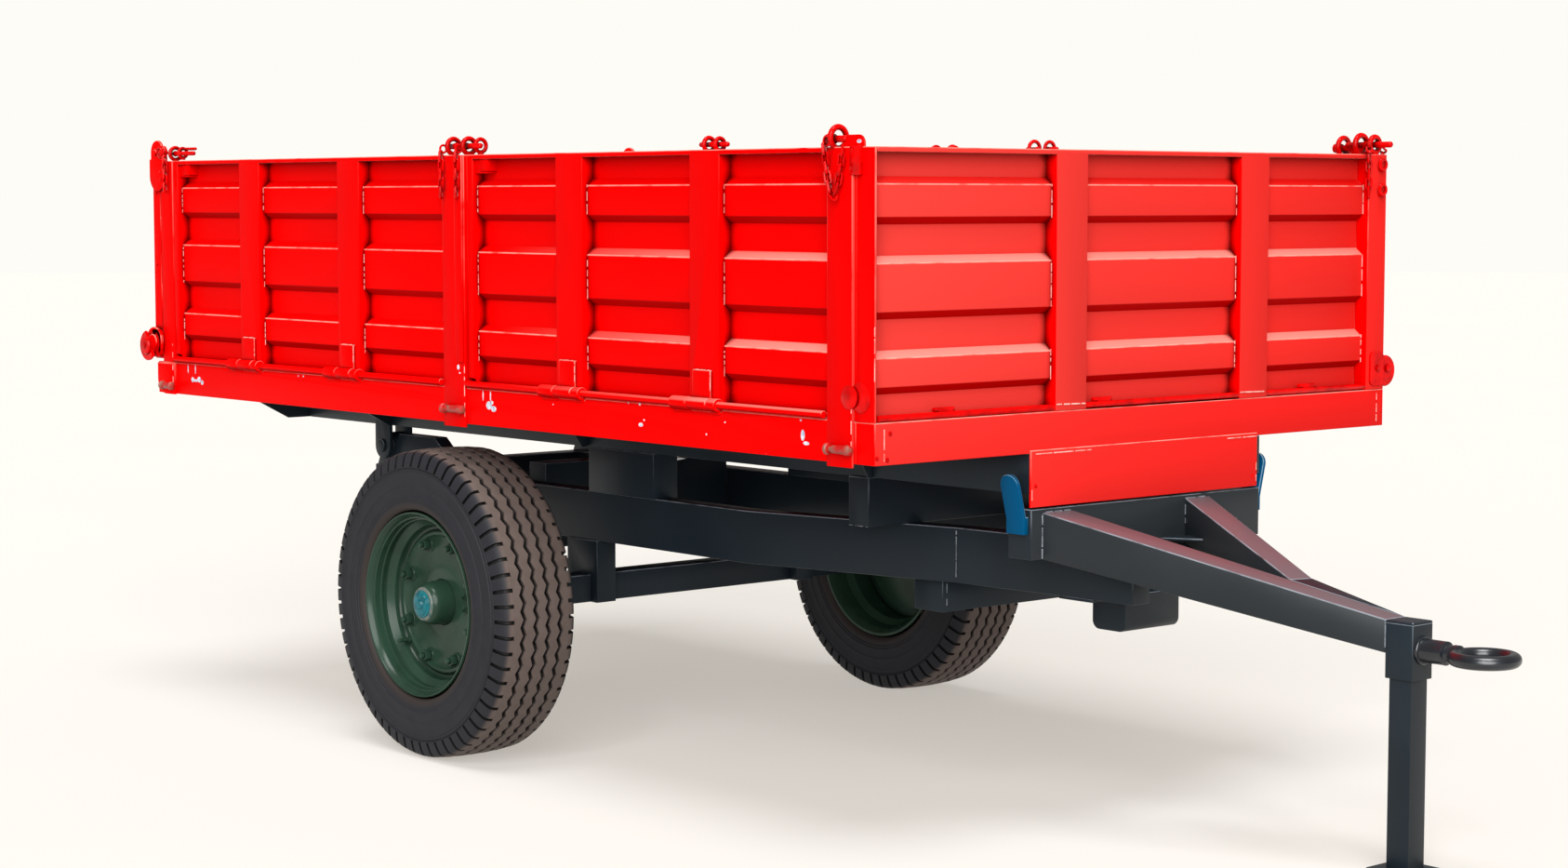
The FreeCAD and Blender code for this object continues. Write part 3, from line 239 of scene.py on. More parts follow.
def ring(centre, normal, mean_radius, section, around=32, about=12, stretch=0.0, stretch_along=Z_AXIS):
    """A round-section ring; stretch pulls its two halves apart into a link."""
    fresh()
    bpy.ops.mesh.primitive_torus_add(major_radius=mean_radius, minor_radius=section,
                                     major_segments=around, minor_segments=about)
    piece = bpy.context.object
    edit(piece)
    if stretch:
        for way in (-1, 1):
            pick("VERT", lambda place, normal: place.x * way > 0.0001)
            bpy.ops.transform.translate(value=(way * stretch / 2, 0, 0))
    fresh()
    normal = Vector(normal).normalized()
    long_way = Vector(stretch_along) - normal * Vector(stretch_along).dot(normal)
    long_way = long_way.normalized() if long_way.length > 0.01 else normal.orthogonal().normalized()
    piece.matrix_world = frame_of(long_way, normal.cross(long_way), normal, Vector(centre))
    only(piece)
    bpy.ops.object.transform_apply(location=True, rotation=True, scale=True)
    return piece


def frame_of(u, v, w, origin):
    """The matrix that carries X, Y and Z onto u, v and w, and the origin onto a point."""
    turn = bpy.context.object.matrix_world.copy()
    for row in range(3):
        for column, way in enumerate((u, v, w)):
            turn[row][column] = way[row]
        turn[row][3] = origin[row]
    return turn


def joined(pieces):
    """Joins several meshes into the first."""
    fresh()
    for piece in pieces:
        piece.select_set(True)
    bpy.context.view_layer.objects.active = pieces[0]
    if len(pieces) > 1:
        bpy.ops.object.join()
    return pieces[0]


def copied(piece, move=(0, 0, 0), mirror=False):
    """A copy with its own mesh, moved, or mirrored to the trailer's other side."""
    only(piece)
    bpy.ops.object.duplicate(linked=False)
    twin = bpy.context.object
    edit(twin)
    bpy.ops.mesh.select_all(action="SELECT")
    if mirror:
        bpy.ops.transform.mirror(constraint_axis=(False, True, False), center_override=(0, 0, 0))
        bpy.ops.mesh.flip_normals()
    bpy.ops.transform.translate(value=move)
    fresh()
    return twin


def settle(piece, name, finish, slot, body, smooth=35, replaces=()):
    """Finishes a piece: its place in its mesh, its shading, name, finish and body; slot is not used."""
    only(piece)
    bpy.ops.object.transform_apply(location=True, rotation=True, scale=True)
    if smooth:
        bpy.ops.object.shade_smooth_by_angle(angle=math.radians(smooth))
    piece.name = name
    piece.data.name = name
    piece.data.materials.clear()
    piece.data.materials.append(finish)
    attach(piece, body)
    if replaces:
        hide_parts(*replaces)
    faces = sum(len(face.vertices) - 2 for face in piece.data.polygons)
    print("made", name, "with", faces, "triangles")
    return piece


# %% [markdown]
# ## Paints, rubber and steel
# A finish is named for the real thing and for how its surface was made. Colours are given as the
# hex values that a screen shows, and one function turns them to linear light. Each pattern's scale
# comes from a real size in millimetres: a noise texture of scale s repeats about every 1/s metres.


# %% Colour and nodes
def linear(code, alpha=1.0):
    """An sRGB hex colour as linear light."""
    parts = [int(code[i:i + 2], 16) / 255 for i in (1, 3, 5)]
    return tuple(c / 12.92 if c <= 0.04045 else ((c + 0.055) / 1.055) ** 2.4 for c in parts) + (alpha,)


def add(tree, kind, values=(), links=(), **settings):
    """Adds a node with its settings, the values on its sockets and what is linked into them."""
    made = tree.nodes.new("ShaderNode" + kind)
    for name, value in settings.items():
        setattr(made, name, value)
    for name, value in dict(values).items():
        made.inputs[name].default_value = value
    for name, socket in dict(links).items():
        tree.links.new(socket, made.inputs[name])
    return made


def every(millimetres):
    """The noise scale whose pattern repeats about every so many millimetres."""
    return 1 / (millimetres * MM)


MIX_FACTOR, MIX_A, MIX_B, MIX_RESULT = 0, 6, 7, 2


def finish(name, roughness, metallic=0.0, specular=0.5):
    """An empty finish: its principled shader with the values that are the same all over."""
    made = bpy.data.materials.new(name)
    made.use_nodes = True
    tree = made.node_tree
    shader = tree.nodes["Principled BSDF"]
    shader.inputs["Roughness"].default_value = roughness
    shader.inputs["Metallic"].default_value = metallic
    shader.inputs["Specular IOR Level"].default_value = specular
    place = add(tree, "TexCoord")
    return made, tree, shader, place.outputs["Object"]


def blend_of(tree, factor, first, second):
    """A mix of two colours, each a hex code or a socket."""
    mix = add(tree, "Mix", data_type="RGBA", links={MIX_FACTOR: factor})
    for slot, colour in ((MIX_A, first), (MIX_B, second)):
        if isinstance(colour, str):
            mix.inputs[slot].default_value = linear(colour)
        else:
            tree.links.new(colour, mix.inputs[slot])
    return mix.outputs[MIX_RESULT]


def window(tree, socket, low, high, soft=True):
    """0 below low, 1 above high, and a ramp between."""
    ramp = add(tree, "MapRange", values={"From Min": low, "From Max": high}, links={"Value": socket},
               interpolation_type="SMOOTHSTEP" if soft else "LINEAR")
    return ramp.outputs["Result"]


# %% [markdown]
# ### Sprayed enamel
# Farm trailers are sprayed with one thick coat of enamel over welded steel. The eye sees a
# saturated satin colour with a faint orange-peel skin, slow drifts of tone where the coat is
# thinner, a roughness that changes a little from place to place, and, where things knock, specks of
# pale primer. Light and shade are painted into the colour too: a painted sheen on faces that look
# ahead, a painted highlight on faces that look up and on the folds' crests, and painted shade on
# faces that look down and in inside corners. The enamel is a dielectric, so its metallic stays 0.

# %% Sprayed enamel
FOLD = "fold"
# Apart from the coat's drift, these windows shape the painted light and shade: which faces get the painted
# sheen, highlight and shade, how the painted highlight fades along the trailer and stops under the top lip,
# how the painted crest highlights break into dashes, and how far the painted shade in corners reaches.
HIGHLIGHT_FADE = (-0.4, 1.0)
LIP_SHADE = (1.43, 1.37)
HEAD_END = (FRONT - 0.16, FRONT - 0.12)
ACROSS = (-0.9, 1.0)
CORNER_REACH = 0.03
CORNER_SHADE = (0.82, 0.45)
THIN_COAT = (0.35, 0.7)
FACES_AHEAD = (0.5, 0.92)
FACES_UP = (0.3, 0.6)
FACES_DOWN = (-0.25, -0.6)
HIGHLIGHT_BREAKS = (0.2, 0.58)


def product(tree, *factors):
    """Several factors multiplied together."""
    result = factors[0]
    for factor in factors[1:]:
        node = add(tree, "Math", operation="MULTIPLY", links={0: result})
        if isinstance(factor, float):
            node.inputs[1].default_value = factor
        else:
            tree.links.new(factor, node.inputs[1])
        result = node.outputs["Value"]
    return result


def parts_of(tree, socket):
    """A vector's X, Y and Z."""
    return add(tree, "SeparateXYZ", links={"Vector": socket}).outputs


def painted_hollow_shade(tree, tone, dark, distance, shade):
    """The tone, with painted shade where the piece's own corners and grooves are hollow."""
    shelter = add(tree, "AmbientOcclusion", values={"Distance": distance}, samples=6, only_local=True)
    return blend_of(tree, window(tree, shelter.outputs["AO"], *shade), tone, dark)


def enamel(name, colour, thin, roughness=0.34, specular=0.35, peel=3.0, drift=420.0, chips=None,
           chip_colour="#a5a2a6", forward=None, upward=None, below=None, crest=None, corner=None):
    """Sprayed enamel; chips is the share of the noise that is knocked off, if any.

    forward, upward and below are painted light and shade on the faces that look that way: a
    painted sheen ahead, a painted highlight up and painted shade below. crest is the painted
    highlight on the bevelled folds, and corner the painted shade in inside corners."""
    made, tree, shader, place = finish(name, roughness, specular=specular)
    slow = add(tree, "TexNoise", values={"Scale": every(drift), "Detail": 3.0}, links={"Vector": place})
    tone = blend_of(tree, window(tree, slow.outputs["Fac"], *THIN_COAT), colour, thin)
    facing = parts_of(tree, tree.nodes["Texture Coordinate"].outputs["Normal"])
    spot = parts_of(tree, place)
    # Painted sheen: faces that look ahead at the front end get a paler tone, graded across the trailer.
    if forward:
        across = blend_of(tree, window(tree, spot["Y"], *ACROSS, soft=False), *forward)
        ahead = product(tree, window(tree, facing["X"], *FACES_AHEAD), window(tree, spot["X"], *HEAD_END))
        tone = blend_of(tree, ahead, tone, across)
    # Painted highlight: faces that look up get a paler tone; where there is a painted sheen too, the
    # highlight fades towards the rear and stops under the top lip.
    if upward:
        slope = window(tree, facing["Z"], *FACES_UP)
        if forward:
            slope = product(tree, slope, window(tree, spot["X"], *HIGHLIGHT_FADE),
                            window(tree, spot["Z"], *LIP_SHADE))
        tone = blend_of(tree, slope, tone, upward)
    # Painted shade: faces that look down get a darker tone.
    if below:
        tone = blend_of(tree, window(tree, facing["Z"], *FACES_DOWN), tone, below)
    # Painted shade: inside corners and grooves are darkened by ambient occlusion.
    if corner:
        tone = painted_hollow_shade(tree, tone, corner, CORNER_REACH, CORNER_SHADE)
    # Painted highlight: the bevelled folds get a pale line, brighter where they face up and broken into
    # dashes by noise.
    if crest:
        rubbed = add(tree, "TexNoise", values={"Scale": every(55), "Detail": 4.0}, links={"Vector": place})
        bright = add(tree, "MapRange", values={"From Min": -0.04, "From Max": 0.34, "To Max": 0.66},
                     links={"Value": facing["Z"]})
        mark = add(tree, "Attribute", attribute_name=FOLD, attribute_type="GEOMETRY").outputs["Fac"]
        line = product(tree, mark, bright.outputs["Result"], window(tree, rubbed.outputs["Fac"], *HIGHLIGHT_BREAKS))
        tone = blend_of(tree, line, tone, crest)
    skin = add(tree, "TexNoise", values={"Scale": every(peel), "Detail": 2.0}, links={"Vector": place})
    matt = add(tree, "MapRange", values={"To Min": roughness - 0.05, "To Max": roughness + 0.09},
               links={"Value": slow.outputs["Fac"]})
    bump = add(tree, "Bump", values={"Strength": 0.06, "Distance": 0.0006},
               links={"Height": skin.outputs["Fac"]})
    if chips:
        knocks = add(tree, "TexNoise", values={"Scale": every(26), "Detail": 5.0, "Roughness": 0.62},
                     links={"Vector": place})
        bare = window(tree, knocks.outputs["Fac"], 1 - chips, 1.012 - chips)
        tone = blend_of(tree, bare, tone, chip_colour)
        tree.links.new(bare, bump.inputs["Height"])
        bump.invert = True
    tree.links.new(tone, shader.inputs["Base Color"])
    tree.links.new(matt.outputs["Result"], shader.inputs["Roughness"])
    tree.links.new(bump.outputs["Normal"], shader.inputs["Normal"])
    return made


# The crest tones are painted highlights on the folds and the corner tone is painted shade in inside corners.
# On the reds, the forward tones are a painted sheen on faces that look ahead, upward a painted highlight on
# faces that look up, and below painted shade on faces that look down.
RED_CREST_HIGHLIGHT = "#da8f82"
RED_CORNER_SHADE = "#4a0000"
DARK_CREST_HIGHLIGHT = "#858d96"
BODY_RED = enamel("red enamel, sprayed", "#ca0101", "#c40202", roughness=0.36, specular=0.012,
                  forward=("#c2342e", "#c61c18"), upward="#cc6f65", below="#9c0101", crest=RED_CREST_HIGHLIGHT,
                  corner=RED_CORNER_SHADE)
RAIL_RED = enamel("red enamel, sprayed and knocked", "#d60101", "#d00202", roughness=0.38, specular=0.012,
                  chips=0.245, forward=("#c92723", "#c61512"), upward="#cc5a51", below="#9c0101",
                  crest=RED_CREST_HIGHLIGHT, corner=RED_CORNER_SHADE)
FLOOR_RED = enamel("red enamel, scuffed by loads", "#9c0a07", "#84100c", roughness=0.5, specular=0.15,
                   drift=260, chips=0.3, chip_colour="#6d463b")
HARDWARE_RED = enamel("red enamel, sprayed over forged steel", "#c40101", "#9c0101", roughness=0.2,
                      specular=0.1, peel=6, drift=40, corner=RED_CORNER_SHADE)
# Painted highlight: the weld beads' pale tone stands for the light on their crests.
WELD_HIGHLIGHT_RED = enamel("red enamel, rubbed bright on weld crests", "#d29b92", "#c25a50", roughness=0.3,
                    specular=0.4, peel=6, drift=30)
# Painted light on the chassis: a paler sheen on faces that look ahead and a painted highlight on its folds.
CHASSIS_DARK = enamel("blue-black enamel, sprayed", "#151d23", "#1a232a", roughness=0.38, specular=0.16,
                      peel=4, forward=("#24272a", "#1f2326"), crest=DARK_CREST_HIGHLIGHT)
# Painted highlight on the chassis weld beads.
WELD_HIGHLIGHT_DARK = enamel("blue-black enamel, rubbed bright on weld crests", "#6a6f75", "#3a3f45", roughness=0.3,
                     specular=0.4, peel=6, drift=30)
FORGED_DARK = enamel("blue-black enamel over a forging", "#0d1015", "#14181e", roughness=0.25, specular=0.6,
                     peel=9, drift=60)
# The ears' crest tone is a painted highlight on their folds.
EAR_BLUE = enamel("blue enamel, sprayed", "#014165", "#013a5a", roughness=0.38, specular=0.03,
                  crest="#8fa9b4")
# The corner tones of the green and the teal are painted shade in their hollows.
WHEEL_GREEN = enamel("green enamel, sprayed", "#203529", "#192b20", roughness=0.22, specular=0.2, drift=120,
                     corner="#040806")
CAP_TEAL = enamel("teal enamel, gloss", "#045a62", "#03434b", roughness=0.16, specular=0.2, drift=30,
                  corner="#021a20")
CAP_WORN = enamel("teal enamel, rubbed to grey primer", "#5b5f57", "#2f4a4a", roughness=0.3, specular=0.3,
                  drift=12)
print("enamels:", len(bpy.data.materials))

# %% [markdown]
# ### The drawbar's mauve sheen
# The drawbar's upward faces carry a thin brown-mauve tone, a painted sheen for the light that falls
# on their tops. It is mixed in by the surface's own upward slope, so it turns with the piece.

# %% Drawbar enamel
# Painted sheen: a mauve tone on faces that look up, and a painted highlight on the folds.
DRAWBAR_DARK = enamel("blue-black enamel, worn to primer on top", "#1d2124", "#23272a", roughness=0.34,
                      specular=0.2, peel=4, upward="#5c4a4e", crest=DARK_CREST_HIGHLIGHT)

# %% [markdown]
# ### Tyre rubber
# Vulcanised rubber is black with a dull sheen. On a trailer that works, dust stays on the tread
# and turns it brown-grey, the sidewall is rubbed darker and a little blue, and a brown ring is
# left where the rim holds dirt. All three are rings about the axle, so the pattern is read from
# the distance to the axle line.


# %% Tyre rubber
GROOVE_REACH = 0.014
GROOVE_SHADE = (0.8, 0.5)
RIM_DIRT = (285 * MM, 262 * MM)
TREAD_FOOT = (385 * MM, 400 * MM)
GROOVE_FLOOR = (411 * MM, 404 * MM)
TREAD_SHARE = (0.86, 0.74)


def rubber(name, centre, half_width):
    """Tyre rubber with its dust laid in rings about the axle."""
    made, tree, shader, place = finish(name, 0.62, specular=0.2)
    middle = add(tree, "Mapping", values={"Location": [-c for c in centre]}, links={"Vector": place})
    part = add(tree, "SeparateXYZ", links={"Vector": middle.outputs["Vector"]})
    flat = add(tree, "CombineXYZ", links={"X": part.outputs["X"], "Z": part.outputs["Z"]})
    reach = add(tree, "VectorMath", links={0: flat.outputs["Vector"]}, operation="LENGTH").outputs["Value"]
    across = add(tree, "Math", links={0: part.outputs["Y"]}, operation="ABSOLUTE").outputs["Value"]
    dust = add(tree, "TexNoise", values={"Scale": every(34), "Detail": 6.0, "Roughness": 0.6},
               links={"Vector": place})
    grit = add(tree, "TexNoise", values={"Scale": every(4), "Detail": 3.0}, links={"Vector": place})
    side = blend_of(tree, dust.outputs["Fac"], "#16171b", "#202025")
    side = blend_of(tree, window(tree, reach, *RIM_DIRT), side, "#27211f")
    worn = blend_of(tree, dust.outputs["Fac"], "#453a36", "#5a4f4a")
    tread = window(tree, across, *[half_width * share for share in TREAD_SHARE])
    colour = blend_of(tree, product(tree, tread, window(tree, reach, *TREAD_FOOT)), side, worn)
    colour = blend_of(tree, product(tree, tread, window(tree, reach, *GROOVE_FLOOR)), colour, "#0c0b0b")
    # Painted shade: the tread's grooves and slits are darkened by ambient occlusion.
    colour = painted_hollow_shade(tree, colour, "#080808", GROOVE_REACH, GROOVE_SHADE)
    tree.links.new(colour, shader.inputs["Base Color"])
    bump = add(tree, "Bump", values={"Strength": 0.25, "Distance": 0.0008},
               links={"Height": grit.outputs["Fac"]})
    tree.links.new(bump.outputs["Normal"], shader.inputs["Normal"])
    return made


# %% [markdown]
# ### Bare and plated steel
# The ram's rod is hard-chromed and ground, a mirror with a faint ripple. Where paint has been
# knocked off, pale primer and grey steel show. The toggle pins are handled so much that their red
# is rubbed down to brown steel.

# %% Chrome, bare steel and primer
CHROME, tree, shader, place = finish("hard chrome, ground", 0.12, metallic=1.0)
ripple = add(tree, "TexNoise", values={"Scale": every(2), "Detail": 2.0}, links={"Vector": place})
shader.inputs["Base Color"].default_value = linear("#c9c9cc")
bump = add(tree, "Bump", values={"Strength": 0.05, "Distance": 0.0002},
           links={"Height": ripple.outputs["Fac"]})
tree.links.new(bump.outputs["Normal"], shader.inputs["Normal"])



def worn_through(name, roughness, specular, size, detail, share, first, second):
    """Two tones in patches of about a size in millimetres."""
    made, tree, shader, place = finish(name, roughness, specular=specular)
    wear = add(tree, "TexNoise", values={"Scale": every(size), "Detail": detail}, links={"Vector": place})
    patches = window(tree, wear.outputs["Fac"], *share)
    tree.links.new(blend_of(tree, patches, first, second), shader.inputs["Base Color"])
    return made


PRIMER = worn_through("pale primer, chipped bare", 0.6, 0.3, 7, 4.0, (0.4, 0.62), "#c4c2ca", "#8c97ad")
WORN_RED = worn_through("red enamel, rubbed to brown steel", 0.42, 0.4, 16, 5.0, (0.42, 0.6), "#a00806",
                        "#7c4438")
print("finishes:", sorted(made.name for made in bpy.data.materials))

# %% [markdown]
# ## The steelwork, with its edges softened
# Folded and rolled steel has no knife edges: sheet bends leave a radius of a few millimetres, and
# tube corners are rounder still. Those small radii catch the light and draw the bright lines along
# ribs and posts, and the enamel paints a pale highlight on them. The imported shapes are already
# right, so each one is copied, its loose triangles are merged into faces, and the edges that stick
# out are bevelled. The bevel's own faces are marked with an attribute, which the enamel reads to
# paint the highlight on them. The imported piece stays hidden underneath.


# %% Softened copies
def pick_ridges(degrees):
    """In edit mode, selects the edges that stick out and turn by more than an angle."""
    bpy.ops.mesh.select_mode(type="EDGE")
    bpy.ops.mesh.select_all(action="DESELECT")
    mesh = bmesh.from_edit_mesh(bpy.context.object.data)
    for item in mesh.edges:
        if len(item.link_faces) == 2 and item.calc_face_angle_signed() > math.radians(degrees):
            item.select_set(True)
    bmesh.update_edit_mesh(bpy.context.object.data)


def mark_folds(piece):
    """Turns the bevel's material index into the attribute that the enamel reads."""
    faces = piece.data.polygons
    index = [0] * len(faces)
    faces.foreach_get("material_index", index)
    marks = piece.data.attributes.new(FOLD, "FLOAT", "FACE")
    marks.data.foreach_set("value", [float(item > 0) for item in index])
    faces.foreach_set("material_index", [0] * len(faces))


def softened(node, radius, finish_of, slot, steps=2, angle=28):
    """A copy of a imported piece, its triangles merged and its ridges rounded by a radius in metres."""
    source = frame["nodes"][node]
    fresh()
    piece = bpy.data.objects.new(node + "_shown", source.data.copy())
    bpy.context.scene.collection.objects.link(piece)
    piece.data.materials.clear()
    for _ in range(2):
        piece.data.materials.append(finish_of)
    edit(piece)
    bpy.ops.mesh.select_all(action="SELECT")
    bpy.ops.mesh.remove_doubles(threshold=0.00005)
    bpy.ops.mesh.customdata_custom_splitnormals_clear()
    bpy.ops.mesh.dissolve_limited(angle_limit=math.radians(0.5))
    pick_ridges(angle)
    bpy.ops.transform.edge_bevelweight(value=1)
    only(piece)
    bpy.ops.object.mode_set(mode="OBJECT")
    bpy.ops.object.modifier_add(type="BEVEL")
    rounding = piece.modifiers[-1]
    rounding.width = radius
    rounding.segments = steps
    rounding.limit_method = "WEIGHT"
    rounding.material = 1
    rounding.use_clamp_overlap = False
    rounding.miter_outer = "MITER_ARC"
    bpy.ops.object.modifier_apply(modifier=rounding.name)
    mark_folds(piece)
    return settle(piece, node + "_shown", finish_of, slot, source["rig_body"], smooth=38, replaces=(node,))


# %% [markdown]
# ### The body
# The drop sides, headboard and tailgate are pressed from 3 mm sheet, the posts and rails are
# folded or rolled box sections. A bend in such sheet has an outer radius of about its thickness.

# %% The body
BOARDS = [name for name in frame["nodes"] if name.startswith("side_board")]
PANELS = BOARDS + ["headboard", "tailgate", "rear_posts", "centre_posts", "front_posts", "corner_posts"]
RAILS = ("bed_front_rail", "bed_rear_rail", "bed_side_rail_right", "bed_side_rail_left", "rear_feet", "apron")
SHEET_BEND = 2.2 * MM
HINGE_BREAK = 0.8 * MM
PLATE_BREAK = 0.5 * MM
for name in PANELS:
    softened(name, SHEET_BEND, BODY_RED, "body_paint")
for name in RAILS:
    softened(name, SHEET_BEND, RAIL_RED, "body_paint")
for name in ("hinge_knuckles", "hinge_rods"):
    softened(name, HINGE_BREAK, RAIL_RED, "body_paint")
softened("floor_plate", PLATE_BREAK, FLOOR_RED, "floor_paint")

# %% [markdown]
# ### The chassis
# Welded box sections under one coat of blue-black enamel. The drawbar's members carry a painted
# mauve sheen on their tops; the guide ears, which lead the bed down, are picked out in blue.

# %% The chassis
CHASSIS = ("chassis_rail_right", "chassis_rail_left", "axle_beam", "axle_brackets", "front_cross_beam",
           "rest_blocks", "support_beam", "lower_cross_tube", "rear_cross_beam", "mid_cross_member",
           "ram_beam", "tip_bearings", "nose_bracket", "drawbar_gussets", "drawbar_head", "cross_bearers",
           "subframe_rail_right", "subframe_rail_left", "subframe_gussets", "tip_lugs", "ram_cross_tube",
           "parking_leg", "parking_foot", "ram_barrel")
TUBE_CORNER = 2.5 * MM
PLATE_EDGE = 1.5 * MM
EAR_EDGE = 2 * MM
ROD_EDGE = 1 * MM
for name in CHASSIS:
    radius = TUBE_CORNER if "rail" in name or "beam" in name else PLATE_EDGE
    softened(name, radius, CHASSIS_DARK, "chassis_paint")
for name in ("drawbar_beam_right", "drawbar_beam_left"):
    softened(name, TUBE_CORNER, DRAWBAR_DARK, "chassis_paint")
softened("guide_ears", EAR_EDGE, EAR_BLUE, "guide_paint")
softened("ram_rod", ROD_EDGE, CHROME, "ram_chrome")

# %% [markdown]
# ## The wheels
# Each wheel is a tyre, a rolled rim welded to a dished disc, and a cast hub with its grease cap.
# All of them are turned shapes, so an outline is drawn once and spun about the axle. The right
# wheel is modelled, and the left one is its mirrored copy.

# %% The wheel's places
TYRE_LOW, TYRE_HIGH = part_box("tyre_right")
RIM_LOW, RIM_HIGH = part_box("rim_right")
WHEEL = (TYRE_LOW + TYRE_HIGH) / 2
TYRE_RADIUS = (TYRE_HIGH.z - TYRE_LOW.z) / 2
TYRE_HALF = (TYRE_HIGH.y - TYRE_LOW.y) / 2
RIM_RADIUS = (RIM_HIGH.z - RIM_LOW.z) / 2
RIM_HALF = (RIM_HIGH.y - RIM_LOW.y) / 2
OUT = Vector((0, -1, 0))
NOSE = WHEEL.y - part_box("hub_right")[0].y
CAP_TIP = WHEEL.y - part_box("hub_cap_right")[0].y
print("tyre %.0f mm, rim %.0f mm across" % (2 * TYRE_RADIUS / MM, 2 * RIM_RADIUS / MM))
WHEEL_TURN = Vector(OUT).orthogonal().normalized()
WHEEL_SIDE = OUT.cross(WHEEL_TURN)


def turned_to(place):
    """The angle of a place about the axle, from the outline's own direction, and its radius."""
    across = Vector(place) - WHEEL
    along = across.dot(WHEEL_TURN)
    beside = across.dot(WHEEL_SIDE)
    return math.atan2(beside, along) % (2 * math.pi), math.hypot(along, beside)


def drawn(reach, radius, *pairs):
    """Points of an outline in metres, from pairs of millimetres off a reach and a radius."""
    return [(reach + along * MM, radius + up * MM) for along, up in pairs]


# %% [markdown]
# ### The tyre
# A ribbed trailer tyre: five ribs between four zigzag grooves, slits pressed into both shoulders,
# and fine moulded rings on the sidewalls. The outline has the grooves in it; after the spin, every
# fourth ring of groove points is pushed one way and its opposite the other, which makes the zigzag,
# and every fourth shoulder face is sunk to make a slit. No lettering is moulded on it.

# %% The tyre's outline
PITCHES = 62
STEPS = 4 * PITCHES
GROOVE_DEPTH = 11 * MM
GROOVE_TOP = 6.5 * MM
GROOVE_FOOT = 3.5 * MM
GROOVES = (19.5 * MM, 59 * MM)
TREAD_EDGE = 99 * MM
CROWN_DROP = 5 * MM
EDGE_RIB = 12 * MM
SHOULDER = ((107.5, 410.5), (113, 403), (116.5, 393), (119.5, 383), (121.5, 373.5))
SIDE_TOP = 376 * MM
SIDE_BULGE = 9 * MM
SIDE_RINGS = (366 * MM, 357 * MM, 322 * MM, 292 * MM, 283 * MM)
RING_HALF = 1 * MM
RING_FOOT = 2.6 * MM
RING_RISE = 1.2 * MM
BEAD_ROLLS = ((272 * MM, 2 * MM), (266 * MM, 2.4 * MM))
BEAD_TOE = ((116.5, 259.5), (112, 256))
INSIDE = ((92, 256.2), (103, 330), (88, 388), (0, 392))


def crown(offset):
    """The tread's radius at an offset from the middle of the tyre."""
    return TYRE_RADIUS - CROWN_DROP * (offset / TREAD_EDGE) ** 2


half = [(0.0, crown(0))]
for groove in GROOVES:
    half.append((groove - GROOVE_TOP, crown(groove)))
    half.append((groove - GROOVE_FOOT, crown(groove) - GROOVE_DEPTH))
    half.append((groove + GROOVE_FOOT, crown(groove) - GROOVE_DEPTH))
    half.append((groove + GROOVE_TOP, crown(groove)))
    half.append(((groove + 20 * MM), crown(groove + 20 * MM)))
half[-1] = (TREAD_EDGE - EDGE_RIB, crown(TREAD_EDGE - EDGE_RIB))
half += [(TREAD_EDGE, crown(TREAD_EDGE))] + drawn(0, 0, *SHOULDER)


def sidewall(radius):
    """The sidewall's offset: it bulges most half way up."""
    middle = (RIM_RADIUS + 6 * MM + SIDE_TOP) / 2
    return TYRE_HALF - RING_RISE - SIDE_BULGE * ((radius - middle) / (SIDE_TOP - middle)) ** 2


for radius in SIDE_RINGS:
    half.append((sidewall(radius + RING_FOOT), radius + RING_FOOT))
    half.append((sidewall(radius) + RING_RISE, radius + RING_HALF))
    half.append((sidewall(radius) + RING_RISE, radius - RING_HALF))
    half.append((sidewall(radius - RING_FOOT), radius - RING_FOOT))
for radius, rise in BEAD_ROLLS:
    half.append((sidewall(radius) + rise, radius))
half += drawn(0, 0, *BEAD_TOE)
right_half = half + drawn(0, 0, *INSIDE)
outline = right_half + [(-offset, radius) for offset, radius in reversed(right_half[1:-1])]

# %% The tyre, spun and cut
tyre = lathe(outline, WHEEL, OUT, steps=STEPS)
edit(tyre)
STEP = 2 * math.pi / STEPS
ZIGZAG = 5 * MM
GROOVED = (5 * MM, 72 * MM)
TREAD_LOW = 395 * MM
SLIT_FROM = 88 * MM
SLIT_REACH = (378 * MM, 416.5 * MM)
SLIT_EDGE = 0.8 * MM
SLIT_DEPTH = 8 * MM
for phase, way in ((1, 1), (3, -1)):
    def on_groove(place, normal, phase=phase):
        """The groove's points on one of every four rings."""
        turn, radius = turned_to(place)
        across = abs(place.y - WHEEL.y)
        return round(turn / STEP) % 4 == phase and radius > TREAD_LOW and GROOVED[0] < across < GROOVED[1]
    pick("VERT", on_groove)
    bpy.ops.transform.translate(value=(0, way * ZIGZAG, 0))


def on_slit(place, normal):
    """Every fourth face round each shoulder."""
    turn, radius = turned_to(place)
    beyond = abs(place.y - WHEEL.y) > SLIT_FROM
    return int(turn / STEP) % 4 == 0 and beyond and SLIT_REACH[0] < radius < SLIT_REACH[1]


print("shoulder faces sunk:", pick("FACE", on_slit))
bpy.ops.mesh.inset(thickness=SLIT_EDGE, depth=-SLIT_DEPTH, use_even_offset=True)
bpy.ops.mesh.select_all(action="SELECT")
bpy.ops.mesh.normals_make_consistent(inside=False)
fresh()
RUBBER = {"right": rubber("vulcanised rubber, dusty, right", WHEEL, TYRE_HALF),
          "left": rubber("vulcanised rubber, dusty, left", (WHEEL.x, -WHEEL.y, WHEEL.z), TYRE_HALF)}

# %% [markdown]
# ### Rim and disc
# The rim is rolled from strip: a curled lip, a step down to the bead seat, a second step to the
# well. The dished disc is pressed with a stiffening ring and welded into the well. The two are one
# outline here, because the weld between them is hidden in the paint.

